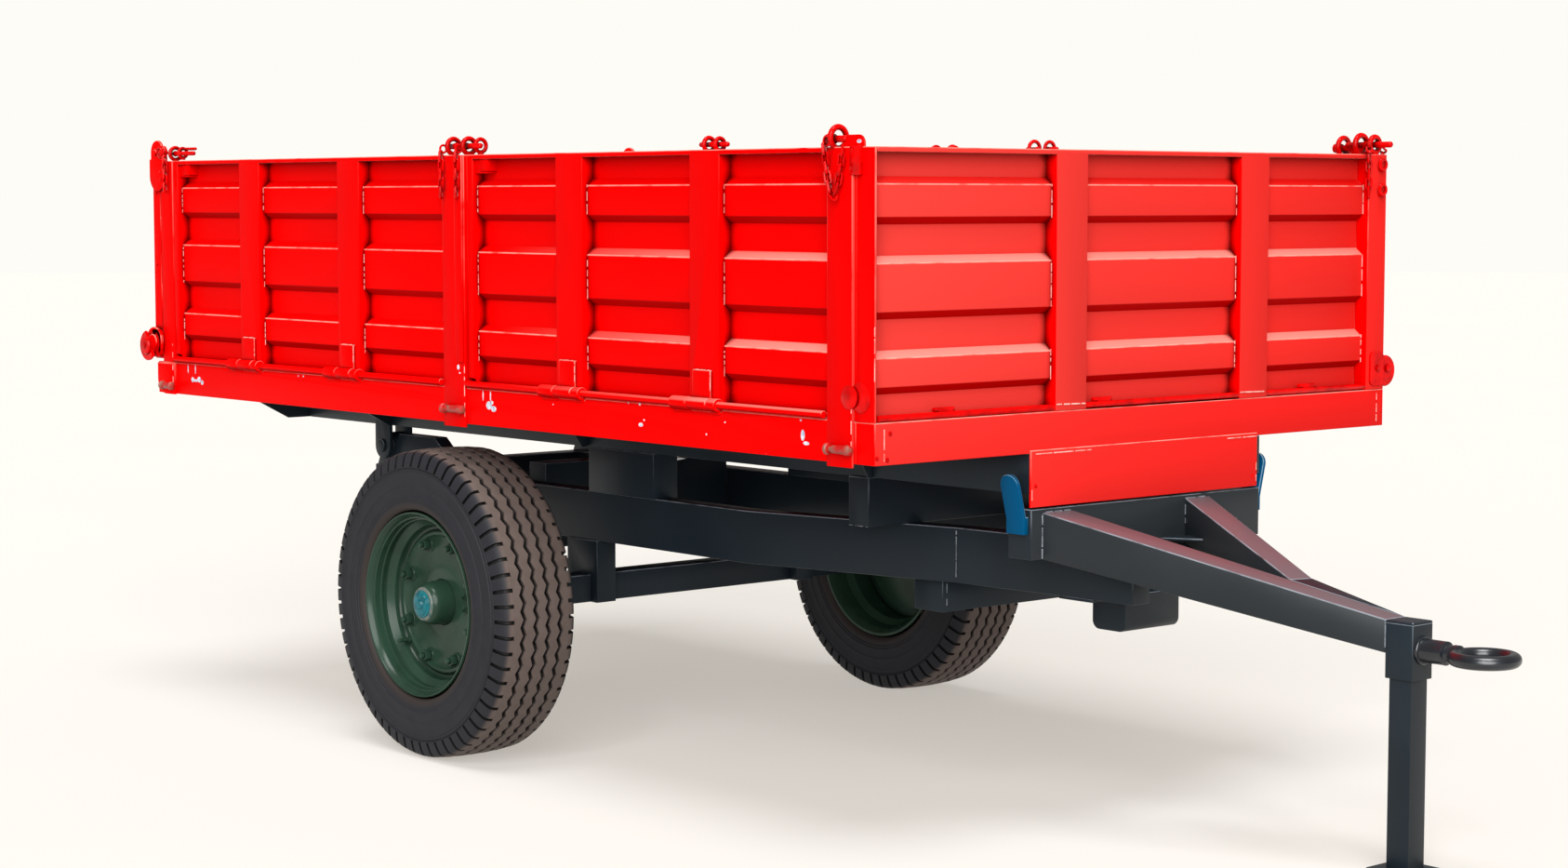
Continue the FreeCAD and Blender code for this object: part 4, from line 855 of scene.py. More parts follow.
# %% Rim and disc
LIP = RIM_RADIUS
DISC = 31 * MM
front = drawn(RIM_HALF, LIP, (0, -1), (-1, -5), (-6, -8), (-11, -12), (-17, -14), (-19, -18), (-34, -20),
              (-36, -23), (-41, -23.5), (-43, -21), (-54, -22), (-60, -28), (-70, -39), (-78, -41))
front += drawn(0, LIP, (37, -42), (33, -45))
disc = drawn(DISC, 0, (0, 200), (2, 196), (6.5, 192), (7, 188), (6.5, 184), (1, 179), (0, 176), (-2, 150),
             (-2, 108), (0, 96), (1, 86), (1, 63.5), (-9, 63.5), (-9, 200))
well = drawn(DISC, LIP, (-11, -46)) + drawn(0, LIP, (-46, -46), (-64, -28))
back = drawn(-RIM_HALF, LIP, (20, -25), (7, -16), (0, -8), (0, 0), (12, -3), (26, -12))
seat = drawn(0, LIP, (-60, -13), (-44, -32), (44, -32), (60, -13))
lip = drawn(RIM_HALF, LIP, (-26, -7), (-12, -3), (-5, 0.5))
rim = lathe(front + disc + well + back + seat + lip, WHEEL, OUT, steps=128)

# %% [markdown]
# ### Studs, nuts and valve
# Eight studs on one circle hold the wheel, each with a washer and a coned nut, and the stud's own
# rounded end stands through it. Two pairs of small bolts hold the bearing seal, and the valve
# stands out of the well. One function makes every nut, large or small.


# %% Studs, nuts and valve
STUD_CIRCLE = 165 * MM
SEAL_CIRCLE = 112 * MM
SEAL_BOLTS = (78, 96, 248, 266)
VALVE_CIRCLE = 196 * MM
FACE = DISC - 2 * MM


def on_disc(angle, circle, rise):
    """A place on the disc's face, at an angle in degrees from straight up."""
    turn = math.radians(angle)
    return WHEEL + OUT * rise + Vector((math.sin(turn), 0, math.cos(turn))) * circle


def outward(base, start, end, radius, bevel, sides, **taper):
    """A bar that stands on the disc, from one reach in millimetres to another."""
    return bar(base + OUT * start * MM, base + OUT * end * MM, radius, bevel=bevel * MM, sides=sides, **taper)


def nut(base, size, height):
    """A hexagon nut on its washer and cone, with the stud's end through it."""
    return joined([outward(base, 0, 2.6, size * 1.45, 0.8, 20),
                   outward(base, 2, 6, size * 1.22, 0.8, 20, end_radius=size * 1.1),
                   outward(base, 4, height, size, 1.5, 6),
                   outward(base, height - 2, height + 11, size * 0.56, 2.2, 14)])


studs = [nut(on_disc(22.5 + 45 * turn, STUD_CIRCLE, FACE), 15 * MM, 25) for turn in range(8)]
studs += [nut(on_disc(angle, SEAL_CIRCLE, FACE), 6 * MM, 8) for angle in SEAL_BOLTS]
nuts = joined(studs)
foot = on_disc(232, VALVE_CIRCLE, DISC + 6 * MM)
stem = outward(foot, 0, 26, 4.2 * MM, 1, 14)
collar = outward(foot, 0, 7, 8 * MM, 1.5, 14)
valve_cap = outward(foot, 22, 38, 5.4 * MM, 1.5, 14)
valve = joined([stem, collar, valve_cap])

# %% [markdown]
# ### Hub and grease cap
# The hub is a casting: its barrel swells from the disc and its nose is turned to a shoulder, where
# the pressed teal cap sits. Handling has worn a bare grey ring round the cap's foot.

# %% Hub and grease cap
barrel = drawn(NOSE, 0, (-58, 0), (-58, 32.4))
barrel += drawn(0, 0, (-70, 32.4), (-70, 67), (10, 68), (11, 179), (21, 180), (21.5, 62))
barrel += drawn(DISC, 0, (1, 62), (8, 60.5), (30, 59))
barrel += drawn(NOSE, 0, (-24, 58), (-14, 56), (-6, 51), (-1.5, 46), (0, 43), (0, 0))
hub = lathe(barrel, WHEEL, OUT, steps=96)
worn = drawn(NOSE, 0, (-3, 37), (-3, 47.2), (1.4, 44), (2.6, 40.5), (2.6, 37))
ring_wear = lathe(worn, WHEEL, OUT, steps=96)
dome = drawn(NOSE, 0, (-2, 0), (-2, 37.5), (4.5, 37.3), (6.5, 35), (6.8, 30.5), (8.6, 29.5), (9.6, 26),
             (9.8, 15), (11.5, 13.5), (14.6, 11))
dome += drawn(CAP_TIP, 0, (-0.5, 7), (0, 0))
cap = lathe(dome, WHEEL, OUT, steps=80)

# %% Both wheels
WHEEL_PIECES = ((tyre, "tyre", RUBBER, "tyre", True), (rim, "rim", WHEEL_GREEN, "wheel_paint", True),
                (nuts, "wheel_nuts", WHEEL_GREEN, "wheel_paint", False),
                (valve, "valve", WHEEL_GREEN, "wheel_paint", False),
                (hub, "hub", WHEEL_GREEN, "wheel_paint", True),
                (ring_wear, "hub_ring", CAP_WORN, "cap_paint", False),
                (cap, "hub_cap", CAP_TEAL, "cap_paint", True))
for piece, word, coat, slot, packed in WHEEL_PIECES:
    twin = copied(piece, mirror=True)
    for made, side in ((piece, "right"), (twin, "left")):
        paint = coat[side] if isinstance(coat, dict) else coat
        node = word + "_" + side
        settle(made, node + "_shown", paint, slot, "wheel_" + side, smooth=32,
               replaces=[node] if packed else ())

# %% [markdown]
# ## Latches on the post tops
# Each drop side is held at its top by a pin that slides through a forged eye on the post beside it.
# The pin has a knob to pull, a thin guide rod beside it, and hangs from a short chain so that it
# can't be lost. Eyes and chain links are bent round bar, so each starts as a torus; a link is one
# whose two halves are pulled apart. Pins and knobs are turned outlines.


# %% Eyes, pins and chains
def turned(outline, start, axis, steps=20):
    """A lathe of millimetres: pairs of (reach, radius) from a start along an axis."""
    return lathe([(reach * MM, radius * MM) for reach, radius in outline], start, axis, steps)


def eye(centre, mean=20.0, section=6.5):
    """A forged ring, its plane across the trailer's length, with its foot welded to the post."""
    hoop = ring(centre, X_AXIS, mean * MM, section * MM, around=32, about=12)
    low = Vector(centre) - Z_AXIS * mean * MM
    flare = [(-7, 0), (-7, section * 1.6), (-3, section * 1.35), (3, section * 0.9), (3, 0)]
    return joined([hoop, turned(flare, low, Z_AXIS)])


def pin(start, way, length, radius=7.5, knob=10.5):
    """A latch pin: a bar with a rounded tip, and a ball knob on a collar at its other end."""
    back = [(-2 - knob, 0), (-2 - knob, knob * 0.45), (-1.4 * knob, knob * 0.85), (-0.6 * knob, knob),
            (0.2 * knob, knob * 0.85), (0.7 * knob, radius)]
    tip = [(length - 4, radius), (length - 1.2, radius * 0.75), (length, radius * 0.3), (length, 0)]
    return turned(back + tip, start, way)


def chain(path, width=20.0, wire=3.4, pitch=22.0):
    """A chain of stretched links along a path, each link turned across the one before."""
    runs = [(b - a).length for a, b in zip(path, path[1:])]
    count = max(2, round(sum(runs) / (pitch * MM)))
    step = sum(runs) / count
    mean = width / 2 - wire
    links = []
    for number in range(count):
        at = step * (number + 0.5)
        for run, a, b in zip(runs, path, path[1:]):
            if at <= run:
                break
            at -= run
        along = (b - a).normalized()
        turn = math.radians(30 + 90 * (number % 2) + random.uniform(-16, 16))
        across = Vector((math.cos(turn), math.sin(turn), 0))
        across = (across - along * across.dot(along)).normalized()
        links.append(ring(a + along * at, across, mean * MM, wire * MM, around=14, about=6,
                          stretch=step - (2 * mean - 2 * wire) * MM, stretch_along=along))
    return joined(links)


def sag(start, end, drop, points=9):
    """A hanging line between two places."""
    line = []
    for number in range(points):
        share = number / (points - 1)
        line.append(start.lerp(end, share) - Z_AXIS * drop * 4 * share * (1 - share))
    return line


# %% [markdown]
# ### Rear, centre and front sets
# The sets are laid out from the post tops on the right side, and mirrored to the left. The chains
# hang outside the posts, so a board that swings down passes inboard of them.

# %% The sets of the right side
EYE_HEIGHT = TOP + 23 * MM
CHAIN_OUT = PLATE + 12 * MM
CENTRE_X = (CENTRE_POST[0].x + CENTRE_POST[1].x) / 2
FRONT_X = FRONT_POST[0].x
REAR_X = REAR_POST[1].x
sets = []
for way in (-1, 1):
    middle = Vector((CENTRE_X + way * 36 * MM, -HALF_WIDTH + 22 * MM, EYE_HEIGHT))
    sets.append(eye(middle))
    grip = middle - X_AXIS * way * 9 * MM
    sets.append(pin(grip, X_AXIS * way, 66 if way > 0 else 42))
    rod_start = middle + mm(-way * 12, 17, 2)
    sets.append(pin(rod_start, X_AXIS * way, 50, radius=4.5, knob=6.5))
    hang = Vector((CENTRE_X + way * 36 * MM, -CHAIN_OUT, TOP + 8 * MM))
    sets.append(ring(hang + mm(0, 8, 8), X_AXIS, 10 * MM, 3 * MM, around=20, about=8))
    sets.append(chain([hang, hang - Z_AXIS * 118 * MM]))
front_eye = Vector((FRONT_X + 20 * MM, -HALF_WIDTH + 10 * MM, TOP + 21 * MM))
sets.append(eye(front_eye, mean=24, section=7))
sets.append(pin(front_eye + mm(-12, -4, -3), X_AXIS, 46, radius=8, knob=14))
front_loop = [Vector((FRONT_X + 6 * MM, -CHAIN_OUT - 2 * MM, TOP + 6 * MM)),
              Vector((FRONT_X + 68 * MM, -CHAIN_OUT - 1 * MM, TOP + 2 * MM))]
sets.append(chain(sag(front_loop[0], front_loop[1], 112 * MM)))
loop_root = front_loop[0] + mm(4, 6, 8)
sets.append(ring(loop_root, Y_AXIS, 11 * MM, 3.2 * MM, around=20, about=8))
rear_eye = Vector((REAR_X - 14 * MM, -HALF_WIDTH + 20 * MM, EYE_HEIGHT - 1 * MM))
sets.append(eye(rear_eye, mean=18, section=6))
sets.append(eye(rear_eye + mm(28, 10, 2), mean=14, section=5))
sets.append(pin(rear_eye + X_AXIS * 6 * MM, X_AXIS, 112, radius=6.5, knob=9))
sets.append(pin(rear_eye + mm(12, 14, 14), X_AXIS, 92, radius=4.5, knob=6))
rear_hang = Vector((REAR_X - 9 * MM, -CHAIN_OUT, TOP + 12 * MM))
sets.append(chain([rear_hang, rear_hang - Z_AXIS * 102 * MM]))
right_latches = joined(sets)
left_latches = copied(right_latches, mirror=True)
settle(right_latches, "latches_right", HARDWARE_RED, "body_paint", "bed", smooth=40)
settle(left_latches, "latches_left", HARDWARE_RED, "body_paint", "bed", smooth=40)

# %% [markdown]
# ### The left front corner's second set
# The left front post carries a second pair of eyes, and the corner post has two hooks on its
# front face that the chains are hung over.

# %% The left front corner
corner = []
LEFT_POST_Y = HALF_WIDTH - 37 * MM
for way, reach in ((-1, 60), (1, 66)):
    middle = Vector((CORNER_POST[0].x + 30 * MM + way * 22 * MM, LEFT_POST_Y, EYE_HEIGHT + 2 * MM))
    corner.append(eye(middle, mean=25 if way < 0 else 20, section=7.5))
    corner.append(pin(middle - X_AXIS * way * 10 * MM, X_AXIS * way, reach, radius=8, knob=10))
face = FRONT + 9 * MM
hang = Vector((face, HALF_WIDTH - 86 * MM, TOP + 12 * MM))
corner.append(chain([hang + mm(-20, 24, 14), hang, hang - Z_AXIS * 122 * MM]))
hang = Vector((FRONT - 24 * MM, HALF_WIDTH + 11 * MM, TOP + 12 * MM))
corner.append(chain([hang + mm(0, -30, 16), hang, hang - Z_AXIS * 96 * MM]))
for height in (39, 104):
    root = Vector((FRONT + 2 * MM, HALF_WIDTH - 30 * MM, TOP - height * MM))
    bend = [root - X_AXIS * 6 * MM, root + X_AXIS * 9 * MM]
    corner.append(bar(bend[0], bend[1], 6 * MM, bevel=2 * MM, sides=14))
    corner.append(ring(root + mm(9, 0, 12), X_AXIS, 13 * MM, 4.5 * MM, around=24, about=8))
corner = joined(corner)
settle(corner, "corner_latch_left", HARDWARE_RED, "body_paint", "bed", smooth=40)

# %% [markdown]
# ### Eyes on the front boards
# Each front board carries an eye for the centre post's pin, and a small latch of two eyes with a
# pin in each, for a board to be set on top. These are welded to the board and swing with it. The
# right latch stands at the board's front stiffener and the left one near its rear stiffener.


# %% Eyes on the front boards
def board_latch(middle, mean, gap, reach):
    """Two eyes side by side, each with its pin, the knobs together in the middle."""
    pieces = []
    for way, size in ((-1, mean), (1, mean * 0.88)):
        centre = middle + X_AXIS * way * gap * MM
        pieces.append(eye(centre, mean=size, section=5.5))
        pieces.append(pin(centre - X_AXIS * way * 10 * MM, X_AXIS * way, reach, radius=6, knob=8))
    return pieces


for name, side, at, lift, mean, gap in (("side_board_right_front", -1, 1166, 13, 16, 20),
                                        ("side_board_left_front", 1, 555, 30, 23, 31)):
    middle = Vector((AXLE_X + at * MM, side * (HALF_WIDTH - 38 * MM), TOP + lift * MM))
    own = board_latch(middle, mean, gap, 44)
    centre_eye = Vector((CENTRE_X + 64 * MM, side * (HALF_WIDTH - 40 * MM), EYE_HEIGHT + 1 * MM))
    own.append(eye(centre_eye, mean=17, section=5.5))
    body = frame["nodes"][name]["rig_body"]
    settle(joined(own), name + "_latch", HARDWARE_RED, "body_paint", body, smooth=40)

# %% [markdown]
# ### Gate pivots, pockets and toggles
# The tailgate's round pivot plates carry a raised ring and two rivets. Under each board's top lip a
# folded pocket takes the latch pin. At the feet of the posts a toggle pin with a flanged head is
# rubbed down to brown steel by use.

# %% Gate pivot plates
fittings = []
pivot = Vector((GATE[1].x + 4 * MM, -PLATE - 1 * MM, TOP + 27 * MM))
PIVOT_BUTTON = [(-2, 0), (-2, 10), (3, 10), (5.5, 7.5), (6, 0)]
RIVET = [(-3, 0), (-3, 5), (2, 5), (3.6, 3), (4, 0)]
for reach in (0, 4):
    step = pivot - Y_AXIS * reach * MM
    fittings.append(ring(step, Y_AXIS, (17 - reach) * MM, 3.2 * MM, around=36, about=8))
fittings.append(turned(PIVOT_BUTTON, pivot, -Y_AXIS, steps=28))
for drop in (58, 84):
    fittings.append(turned(RIVET, pivot - Z_AXIS * drop * MM, -Y_AXIS, steps=12))
plate = block((CORNER_POST[1].x - 112 * MM, -HALF_WIDTH + 4 * MM, TOP - 6 * MM),
              (CORNER_POST[1].x - 42 * MM, -HALF_WIDTH + 10 * MM, TOP + 27 * MM))
edit(plate)
pick("EDGE", lambda middle, way: abs(way.y) > 0.9 and middle.z > TOP)
bpy.ops.mesh.bevel(offset=20 * MM, segments=8, affect="EDGES")
pick("EDGE", lambda middle, way: abs(way.y) < 0.5)
bpy.ops.mesh.bevel(offset=1.2 * MM, segments=2, affect="EDGES")
fresh()
riveted = block((CORNER_POST[0].x - 12 * MM, -PLATE - 3 * MM, TOP - 63 * MM),
                (CORNER_POST[0].x + 23 * MM, -HALF_WIDTH + 1 * MM, TOP + 2 * MM), bevel=1.2 * MM)
fittings.append(riveted)
for centre_x, radius, height, face_y in ((-13, 27, 55, -PLATE), (17, 34, 55, -HALF_WIDTH)):
    boss = Vector((CORNER_POST[0].x + centre_x * MM, face_y, PLATFORM + height * MM))
    disc = [(-2, 0), (-2, radius), (2.4, radius), (4, radius - 3), (4, 0)]
    fittings.append(turned(disc, boss, -Y_AXIS, steps=40))
left_plate = copied(plate, mirror=True)
settle(plate, "corner_plate_right", RAIL_RED, "body_paint", "bed")
settle(left_plate, "corner_plate_left", RAIL_RED, "body_paint", "bed")
right_fittings = joined(fittings)
left_fittings = copied(right_fittings, mirror=True)
settle(right_fittings, "fittings_right", HARDWARE_RED, "body_paint", "bed")
settle(left_fittings, "fittings_left", HARDWARE_RED, "body_paint", "bed")

# %% Pockets under the boards' lips
for name in BOARDS:
    side = -1 if "right" in name else 1
    low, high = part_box(name)
    start = low.x + 27 * MM
    cheeks = []
    for rear, fore, outer, foot in ((0, 58, 899, -50), (30, 64, 903, -44)):
        near, far = sorted((side * 866 * MM, side * outer * MM))
        cheeks.append(block((start + rear * MM, near, high.z + foot * MM),
                            (start + fore * MM, far, high.z - 12 * MM), bevel=2.5 * MM))
    settle(joined(cheeks), name + "_pocket", BODY_RED, "body_paint", frame["nodes"][name]["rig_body"])

# %% Toggle pins at the post feet
TOGGLE = [(-4, 0), (-4, 11), (-1, 13.5), (4, 13.5), (7, 11), (8, 6.5), (20, 6.5), (22, 9.5),
          (60, 10), (64, 12), (74, 12), (79, 9), (81, 4), (81, 0)]
toggles = []
for start_x, height, share in ((FRONT_POST[0].x + 14 * MM, -64, 1.0), (CENTRE_POST[0].x + 13 * MM, -57, 1.15),
                               (REAR + 54 * MM, -71, 0.8)):
    start = Vector((start_x, -PLATE - 11 * MM, PLATFORM + height * MM))
    toggles.append(turned([(reach * share, radius) for reach, radius in TOGGLE], start, X_AXIS, steps=22))
    root = start + X_AXIS * 34 * MM
    toggles.append(bar(root + Y_AXIS * 16 * MM, root - Y_AXIS * 1 * MM, 6 * MM, bevel=1 * MM, sides=12))
right_toggles = joined(toggles)
left_toggles = copied(right_toggles, mirror=True)
settle(right_toggles, "toggles_right", WORN_RED, "body_paint", "bed")
settle(left_toggles, "toggles_left", WORN_RED, "body_paint", "bed")
print("latches done")
# %% [markdown]
# ## Weld beads
# The trailer is welded by hand, and the beads show as rows of small shiny lumps, broken where the
# welder stopped. A bead is drawn as coarse as it needs to show: one faceted ball of a few faces,
# repeated along the seam by an Array modifier. Each row is cut into runs of uneven length.


# %% Rows of beads
BEAD_STEP = 1.9
RUN = 46.0
ROWS = {}


def beads(start, end, size, fill, run, body, finish_of, slot):
    """A broken row of weld beads from start to end, gathered by body and finish.

    A bead's size and the length of a run are in millimetres; fill is the share that is welded."""
    size = size * MM
    start = Vector(start)
    way = Vector(end) - start
    total = way.length
    way.normalize()
    at = random.uniform(0, 0.4) * run * MM
    while at < total - 3 * size:
        reach = min(total - at, random.uniform(0.4, 1.5) * run * MM * fill)
        count = max(2, int(reach / (size * BEAD_STEP)))
        fresh()
        bpy.ops.mesh.primitive_ico_sphere_add(subdivisions=1, radius=size, location=start + way * at)
        row = bpy.context.object
        edit(row)
        bpy.ops.mesh.select_all(action="SELECT")
        bpy.ops.transform.resize(value=[1 + 0.35 * abs(part) for part in way])
        fresh()
        only(row)
        bpy.ops.object.transform_apply(location=True, rotation=True, scale=True)
        bpy.ops.object.modifier_add(type="ARRAY")
        rank = row.modifiers[-1]
        rank.count = count
        rank.use_relative_offset = False
        rank.use_constant_offset = True
        rank.constant_offset_displace = way * size * BEAD_STEP
        bpy.ops.object.modifier_apply(modifier=rank.name)
        ROWS.setdefault((body, finish_of.name, slot), []).append(row)
        at += reach + random.uniform(0.3, 1.2) * run * MM * (1 - fill)


def red_seam(start, end, size, fill, run=RUN, body="bed"):
    """A seam in the body's red, on the bed or on one of its boards."""
    beads(start, end, size, fill, run, body, WELD_HIGHLIGHT_RED, "body_paint")


def dark_seam(start, end, size, fill):
    """A seam in the chassis's dark paint."""
    beads(start, end, size, fill, RUN, "chassis", WELD_HIGHLIGHT_DARK, "chassis_paint")


def upright(seam, x, y, foot, head, *rest):
    """A seam that runs straight up at one place."""
    seam((x, y, foot), (x, y, head), *rest)


def settle_rows(word):
    """Joins each body's rows into one piece."""
    for number, ((body, paint, slot), rows) in enumerate(sorted(ROWS.items())):
        name = "%s_%s_%d" % (word, body, number)
        settle(joined(rows), name, bpy.data.materials[paint], slot, body, smooth=0)
    ROWS.clear()


# %% [markdown]
# ### Seams on the body
# Each channel is stitched to the pressed sheet down one edge, where the ribs end, the posts to their
# foot plates, and the hinge straps along one edge and their top.

# %% Seams on the body
STATIONS = (451 * MM, 992 * MM)
CHANNEL = 55.5 * MM
END_STILE = 26 * MM
RIB_HEIGHTS = (96 * MM, 140 * MM, 105 * MM)
RIB_MARGINS = (62 * MM, 67 * MM)
RIB_SINK = 16.4 * MM
STRAP_EDGE = 29 * MM
STRAP_WIDTH = 64 * MM
STRAP_FOOT = 40 * MM
STRAP_HEAD = 98 * MM
STRAP_SHEET = 5 * MM
PAINT = 0.4 * MM
HEAD_CHANNELS = ((-330.5 * MM, -225.5 * MM), (329.5 * MM, 434.5 * MM))


def ribs(height):
    """The foot and head of each pressed rib on a board of this height."""
    gap = (height - sum(RIB_MARGINS) - sum(RIB_HEIGHTS)) / 2
    foot = RIB_MARGINS[0]
    rows = []
    for tall in RIB_HEIGHTS:
        rows.append((foot, foot + tall))
        foot += tall + gap
    return rows


FACE_OUT = HALF_WIDTH + PAINT
for name in BOARDS:
    side = -1 if "right" in name else 1
    body = frame["nodes"][name]["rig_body"]
    low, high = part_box(name)
    crest = side * (HALF_WIDTH - RIB_SINK)
    for root in [END_STILE] + [middle + CHANNEL for middle in STATIONS]:
        for foot, head in ribs(high.z - low.z):
            upright(red_seam, low.x + root + 1 * MM, crest, low.z + foot + 14 * MM, low.z + head - 12 * MM,
                    1.2, 0.7, 26, body)
    y = side * FACE_OUT + side * STRAP_SHEET
    strap_top = low.z + STRAP_HEAD
    for middle in STATIONS:
        x = low.x + middle + STRAP_EDGE
        upright(red_seam, x, y, low.z + STRAP_FOOT, strap_top, 1.3, 0.8, 30, body)
        red_seam((x - STRAP_WIDTH, y, strap_top), (x, y, strap_top), 1.3, 0.8, 30, body)
for side in (-1, 1):
    for post in (REAR_POST, CENTRE_POST, FRONT_POST):
        upright(red_seam, post[1].x - 2 * MM, side * (PLATE + PAINT), FRAME_BOTTOM + 10 * MM,
                PLATFORM + 60 * MM, 1.3, 0.6)
    upright(red_seam, REAR + 94 * MM, side * FACE_OUT, FRAME_BOTTOM + 30 * MM, PLATFORM - 8 * MM, 1.4, 0.7)
HEAD_HIGH = HEADBOARD[1]
face = HEAD_HIGH.x - RIB_SINK
for y in (HEAD_CHANNELS[0][0], HEAD_CHANNELS[1][0], HEAD_HIGH.y):
    for foot, head in ribs(HEAD_HIGH.z - PLATFORM):
        upright(red_seam, face, y - 1 * MM, PLATFORM + foot + 12 * MM, PLATFORM + head - 10 * MM,
                1.5, 0.75, 30)
face = HEAD_HIGH.x + 1 * MM
for right_end, left_end in HEAD_CHANNELS:
    red_seam((face, right_end, PLATFORM + 16 * MM), (face, left_end, PLATFORM + 14 * MM), 2.2, 0.9)
for side in (-1, 1):
    upright(red_seam, FRONT + PAINT, side * (HALF_WIDTH - 28 * MM), FRAME_BOTTOM + 8 * MM,
            PLATFORM - 6 * MM, 1.5, 0.75)
    upright(red_seam, FRONT - 2 * MM, side * (HALF_WIDTH - 1 * MM), PLATFORM + 90 * MM,
            PLATFORM + 220 * MM, 1.6, 0.85)
APRON_LOW, APRON_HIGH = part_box("apron")
for y in (APRON_LOW.y + 4 * MM, APRON_HIGH.y - 4 * MM):
    upright(red_seam, APRON_HIGH.x + PAINT, y, APRON_LOW.z + 10 * MM, APRON_HIGH.z - 70 * MM, 1.4, 0.5)
APRON_HEAD = FRAME_BOTTOM - 1 * MM
for right_end, left_end in ((APRON_LOW.y, APRON_LOW.y + 210 * MM), (APRON_HIGH.y - 130 * MM, APRON_HIGH.y)):
    red_seam((APRON_HIGH.x, right_end, APRON_HEAD), (APRON_HIGH.x, left_end, APRON_HEAD), 1.8, 0.9)

# %% [markdown]
# ### Seams on the chassis
# Here the beads are heavier: at the drawbar's root, the head, the cross members' ends, the cranks
# of the rails and the corners of the A.

# %% Seams on the chassis
BEAM_LOW, BEAM_HIGH = CROSS_BEAM
HEAD_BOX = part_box("drawbar_head")
RIGHT_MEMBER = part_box("drawbar_beam_right")
LEFT_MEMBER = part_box("drawbar_beam_left")
TUBE_LOW, TUBE_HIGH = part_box("lower_cross_tube")
SUPPORT_LOW, SUPPORT_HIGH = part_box("support_beam")
RAIL_LOW, RAIL_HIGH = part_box("chassis_rail_right")
BRACKET_LOW, BRACKET_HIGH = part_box("nose_bracket")
RIGHT_ROOT = -275 * MM
LEFT_ROOT = 131 * MM
CRANK = AXLE_X + 1360 * MM
front_face = BEAM_HIGH.x + 1 * MM
for y in (RIGHT_MEMBER[0].y, LEFT_MEMBER[1].y):
    upright(dark_seam, front_face, y, BEAM_LOW.z + 2 * MM, BEAM_HIGH.z - 12 * MM, 2.4, 0.9)
z = BEAM_HIGH.z - 9 * MM
for right_end, left_end in ((RIGHT_MEMBER[0].y, RIGHT_ROOT), (LEFT_ROOT, LEFT_MEMBER[1].y)):
    dark_seam((front_face, right_end, z), (front_face, left_end, z), 2.2, 0.85)
upright(dark_seam, front_face, LEFT_ROOT, BEAM_LOW.z + 40 * MM, BEAM_HIGH.z - 14 * MM, 2.2, 0.7)
for side in (-1, 1):
    upright(dark_seam, HEAD_BOX[0].x, side * 37 * MM, 500 * MM, HEAD_BOX[1].z - 4 * MM, 2.0, 0.8)
    y = side * 232 * MM
    dark_seam((TUBE_LOW.x + 4 * MM, y, TUBE_HIGH.z), (TUBE_HIGH.x, y, TUBE_HIGH.z), 2.4, 0.85)
    upright(dark_seam, TUBE_HIGH.x + PAINT, side * 218 * MM, TUBE_LOW.z + 6 * MM, TUBE_HIGH.z - 4 * MM,
            1.8, 0.5)
    y = side * 415 * MM
    z = SUPPORT_LOW.z + 1 * MM
    dark_seam((SUPPORT_LOW.x, y, z), (SUPPORT_HIGH.x, y, z), 1.6, 0.7)
    upright(dark_seam, CRANK, side * 251 * MM, RAIL_LOW.z + 4 * MM, RAIL_HIGH.z - 4 * MM, 2.6, 0.92)
z = BRACKET_HIGH.z - 8 * MM
dark_seam((BRACKET_LOW.x + 4 * MM, -97 * MM, z), (BRACKET_HIGH.x, -97 * MM, z), 1.8, 0.8)
settle_rows("beads")

# %% [markdown]
# ## Clips, bolts, tag and chips
# Small things that a maker would list as hardware: the headboard's clips on the front rail, bolt
# heads, a blank tag plate, and the places where stones have knocked the enamel off down to pale
# primer. A chip is a thin flake with a ragged edge that lies on the paint.


# %% Bolts and clips
def bolt(place, way, size=8.0, height=5.0):
    """A hexagon head on a thin washer."""
    disc = [(-2, 0), (-2, size * 1.25), (1.2, size * 1.25), (1.6, size), (1.6, 0)]
    washer = turned(disc, place, way, steps=18)
    place = Vector(place)
    head = bar(place, place + Vector(way) * height * MM, size * MM, bevel=1.2 * MM, sides=6)
    return joined([washer, head])


hardware = []
for y, z in ((-861, -25), (-901, -79), (-870, -84)):
    hardware.append(bolt(FRONT_EDGE + mm(0, y, z), X_AXIS, size=4.5, height=3))
for y in (-680, -155, 611):
    hardware.append(block(FRONT_EDGE + mm(-26, y - 24, 1), FRONT_EDGE + mm(-8, y + 24, 22), bevel=3 * MM))
    hardware.append(bar(FRONT_EDGE + mm(-15, y - 34, 20), FRONT_EDGE + mm(-15, y + 30, 20), 6 * MM,
                        bevel=2 * MM, sides=14))
hardware.append(bar((FRONT - 8 * MM, -HALF_WIDTH + 14 * MM, PLATFORM + 9 * MM),
                    (FRONT - 8 * MM, HALF_WIDTH - 60 * MM, PLATFORM + 9 * MM), 7.5 * MM, bevel=1 * MM))
hardware.append(rounded(FRONT_EDGE + mm(-3, 846, 11), FRONT_EDGE + mm(5, 901, 99), 0, 14 * MM, 5))
hardware.append(bolt(FRONT_EDGE + mm(5, 875, 56), X_AXIS))
cam = FRONT_EDGE + mm(-2, 913, 48)
CAM_DISC = [(-5, 0), (-5, 41), (2, 41), (4, 38), (4, 24), (6, 22), (6, 0)]
hardware.append(turned(CAM_DISC, cam, X_AXIS, steps=40))
hardware.append(bolt(cam + mm(6, 3, 6), X_AXIS, size=10, height=7))
for y, z in ((APRON_LOW.y + 16 * MM, APRON_HIGH.z - 84 * MM),
             (APRON_HIGH.y - 16 * MM, APRON_LOW.z + 26 * MM)):
    hardware.append(bolt((APRON_HIGH.x, y, z), X_AXIS, size=4, height=2.5))
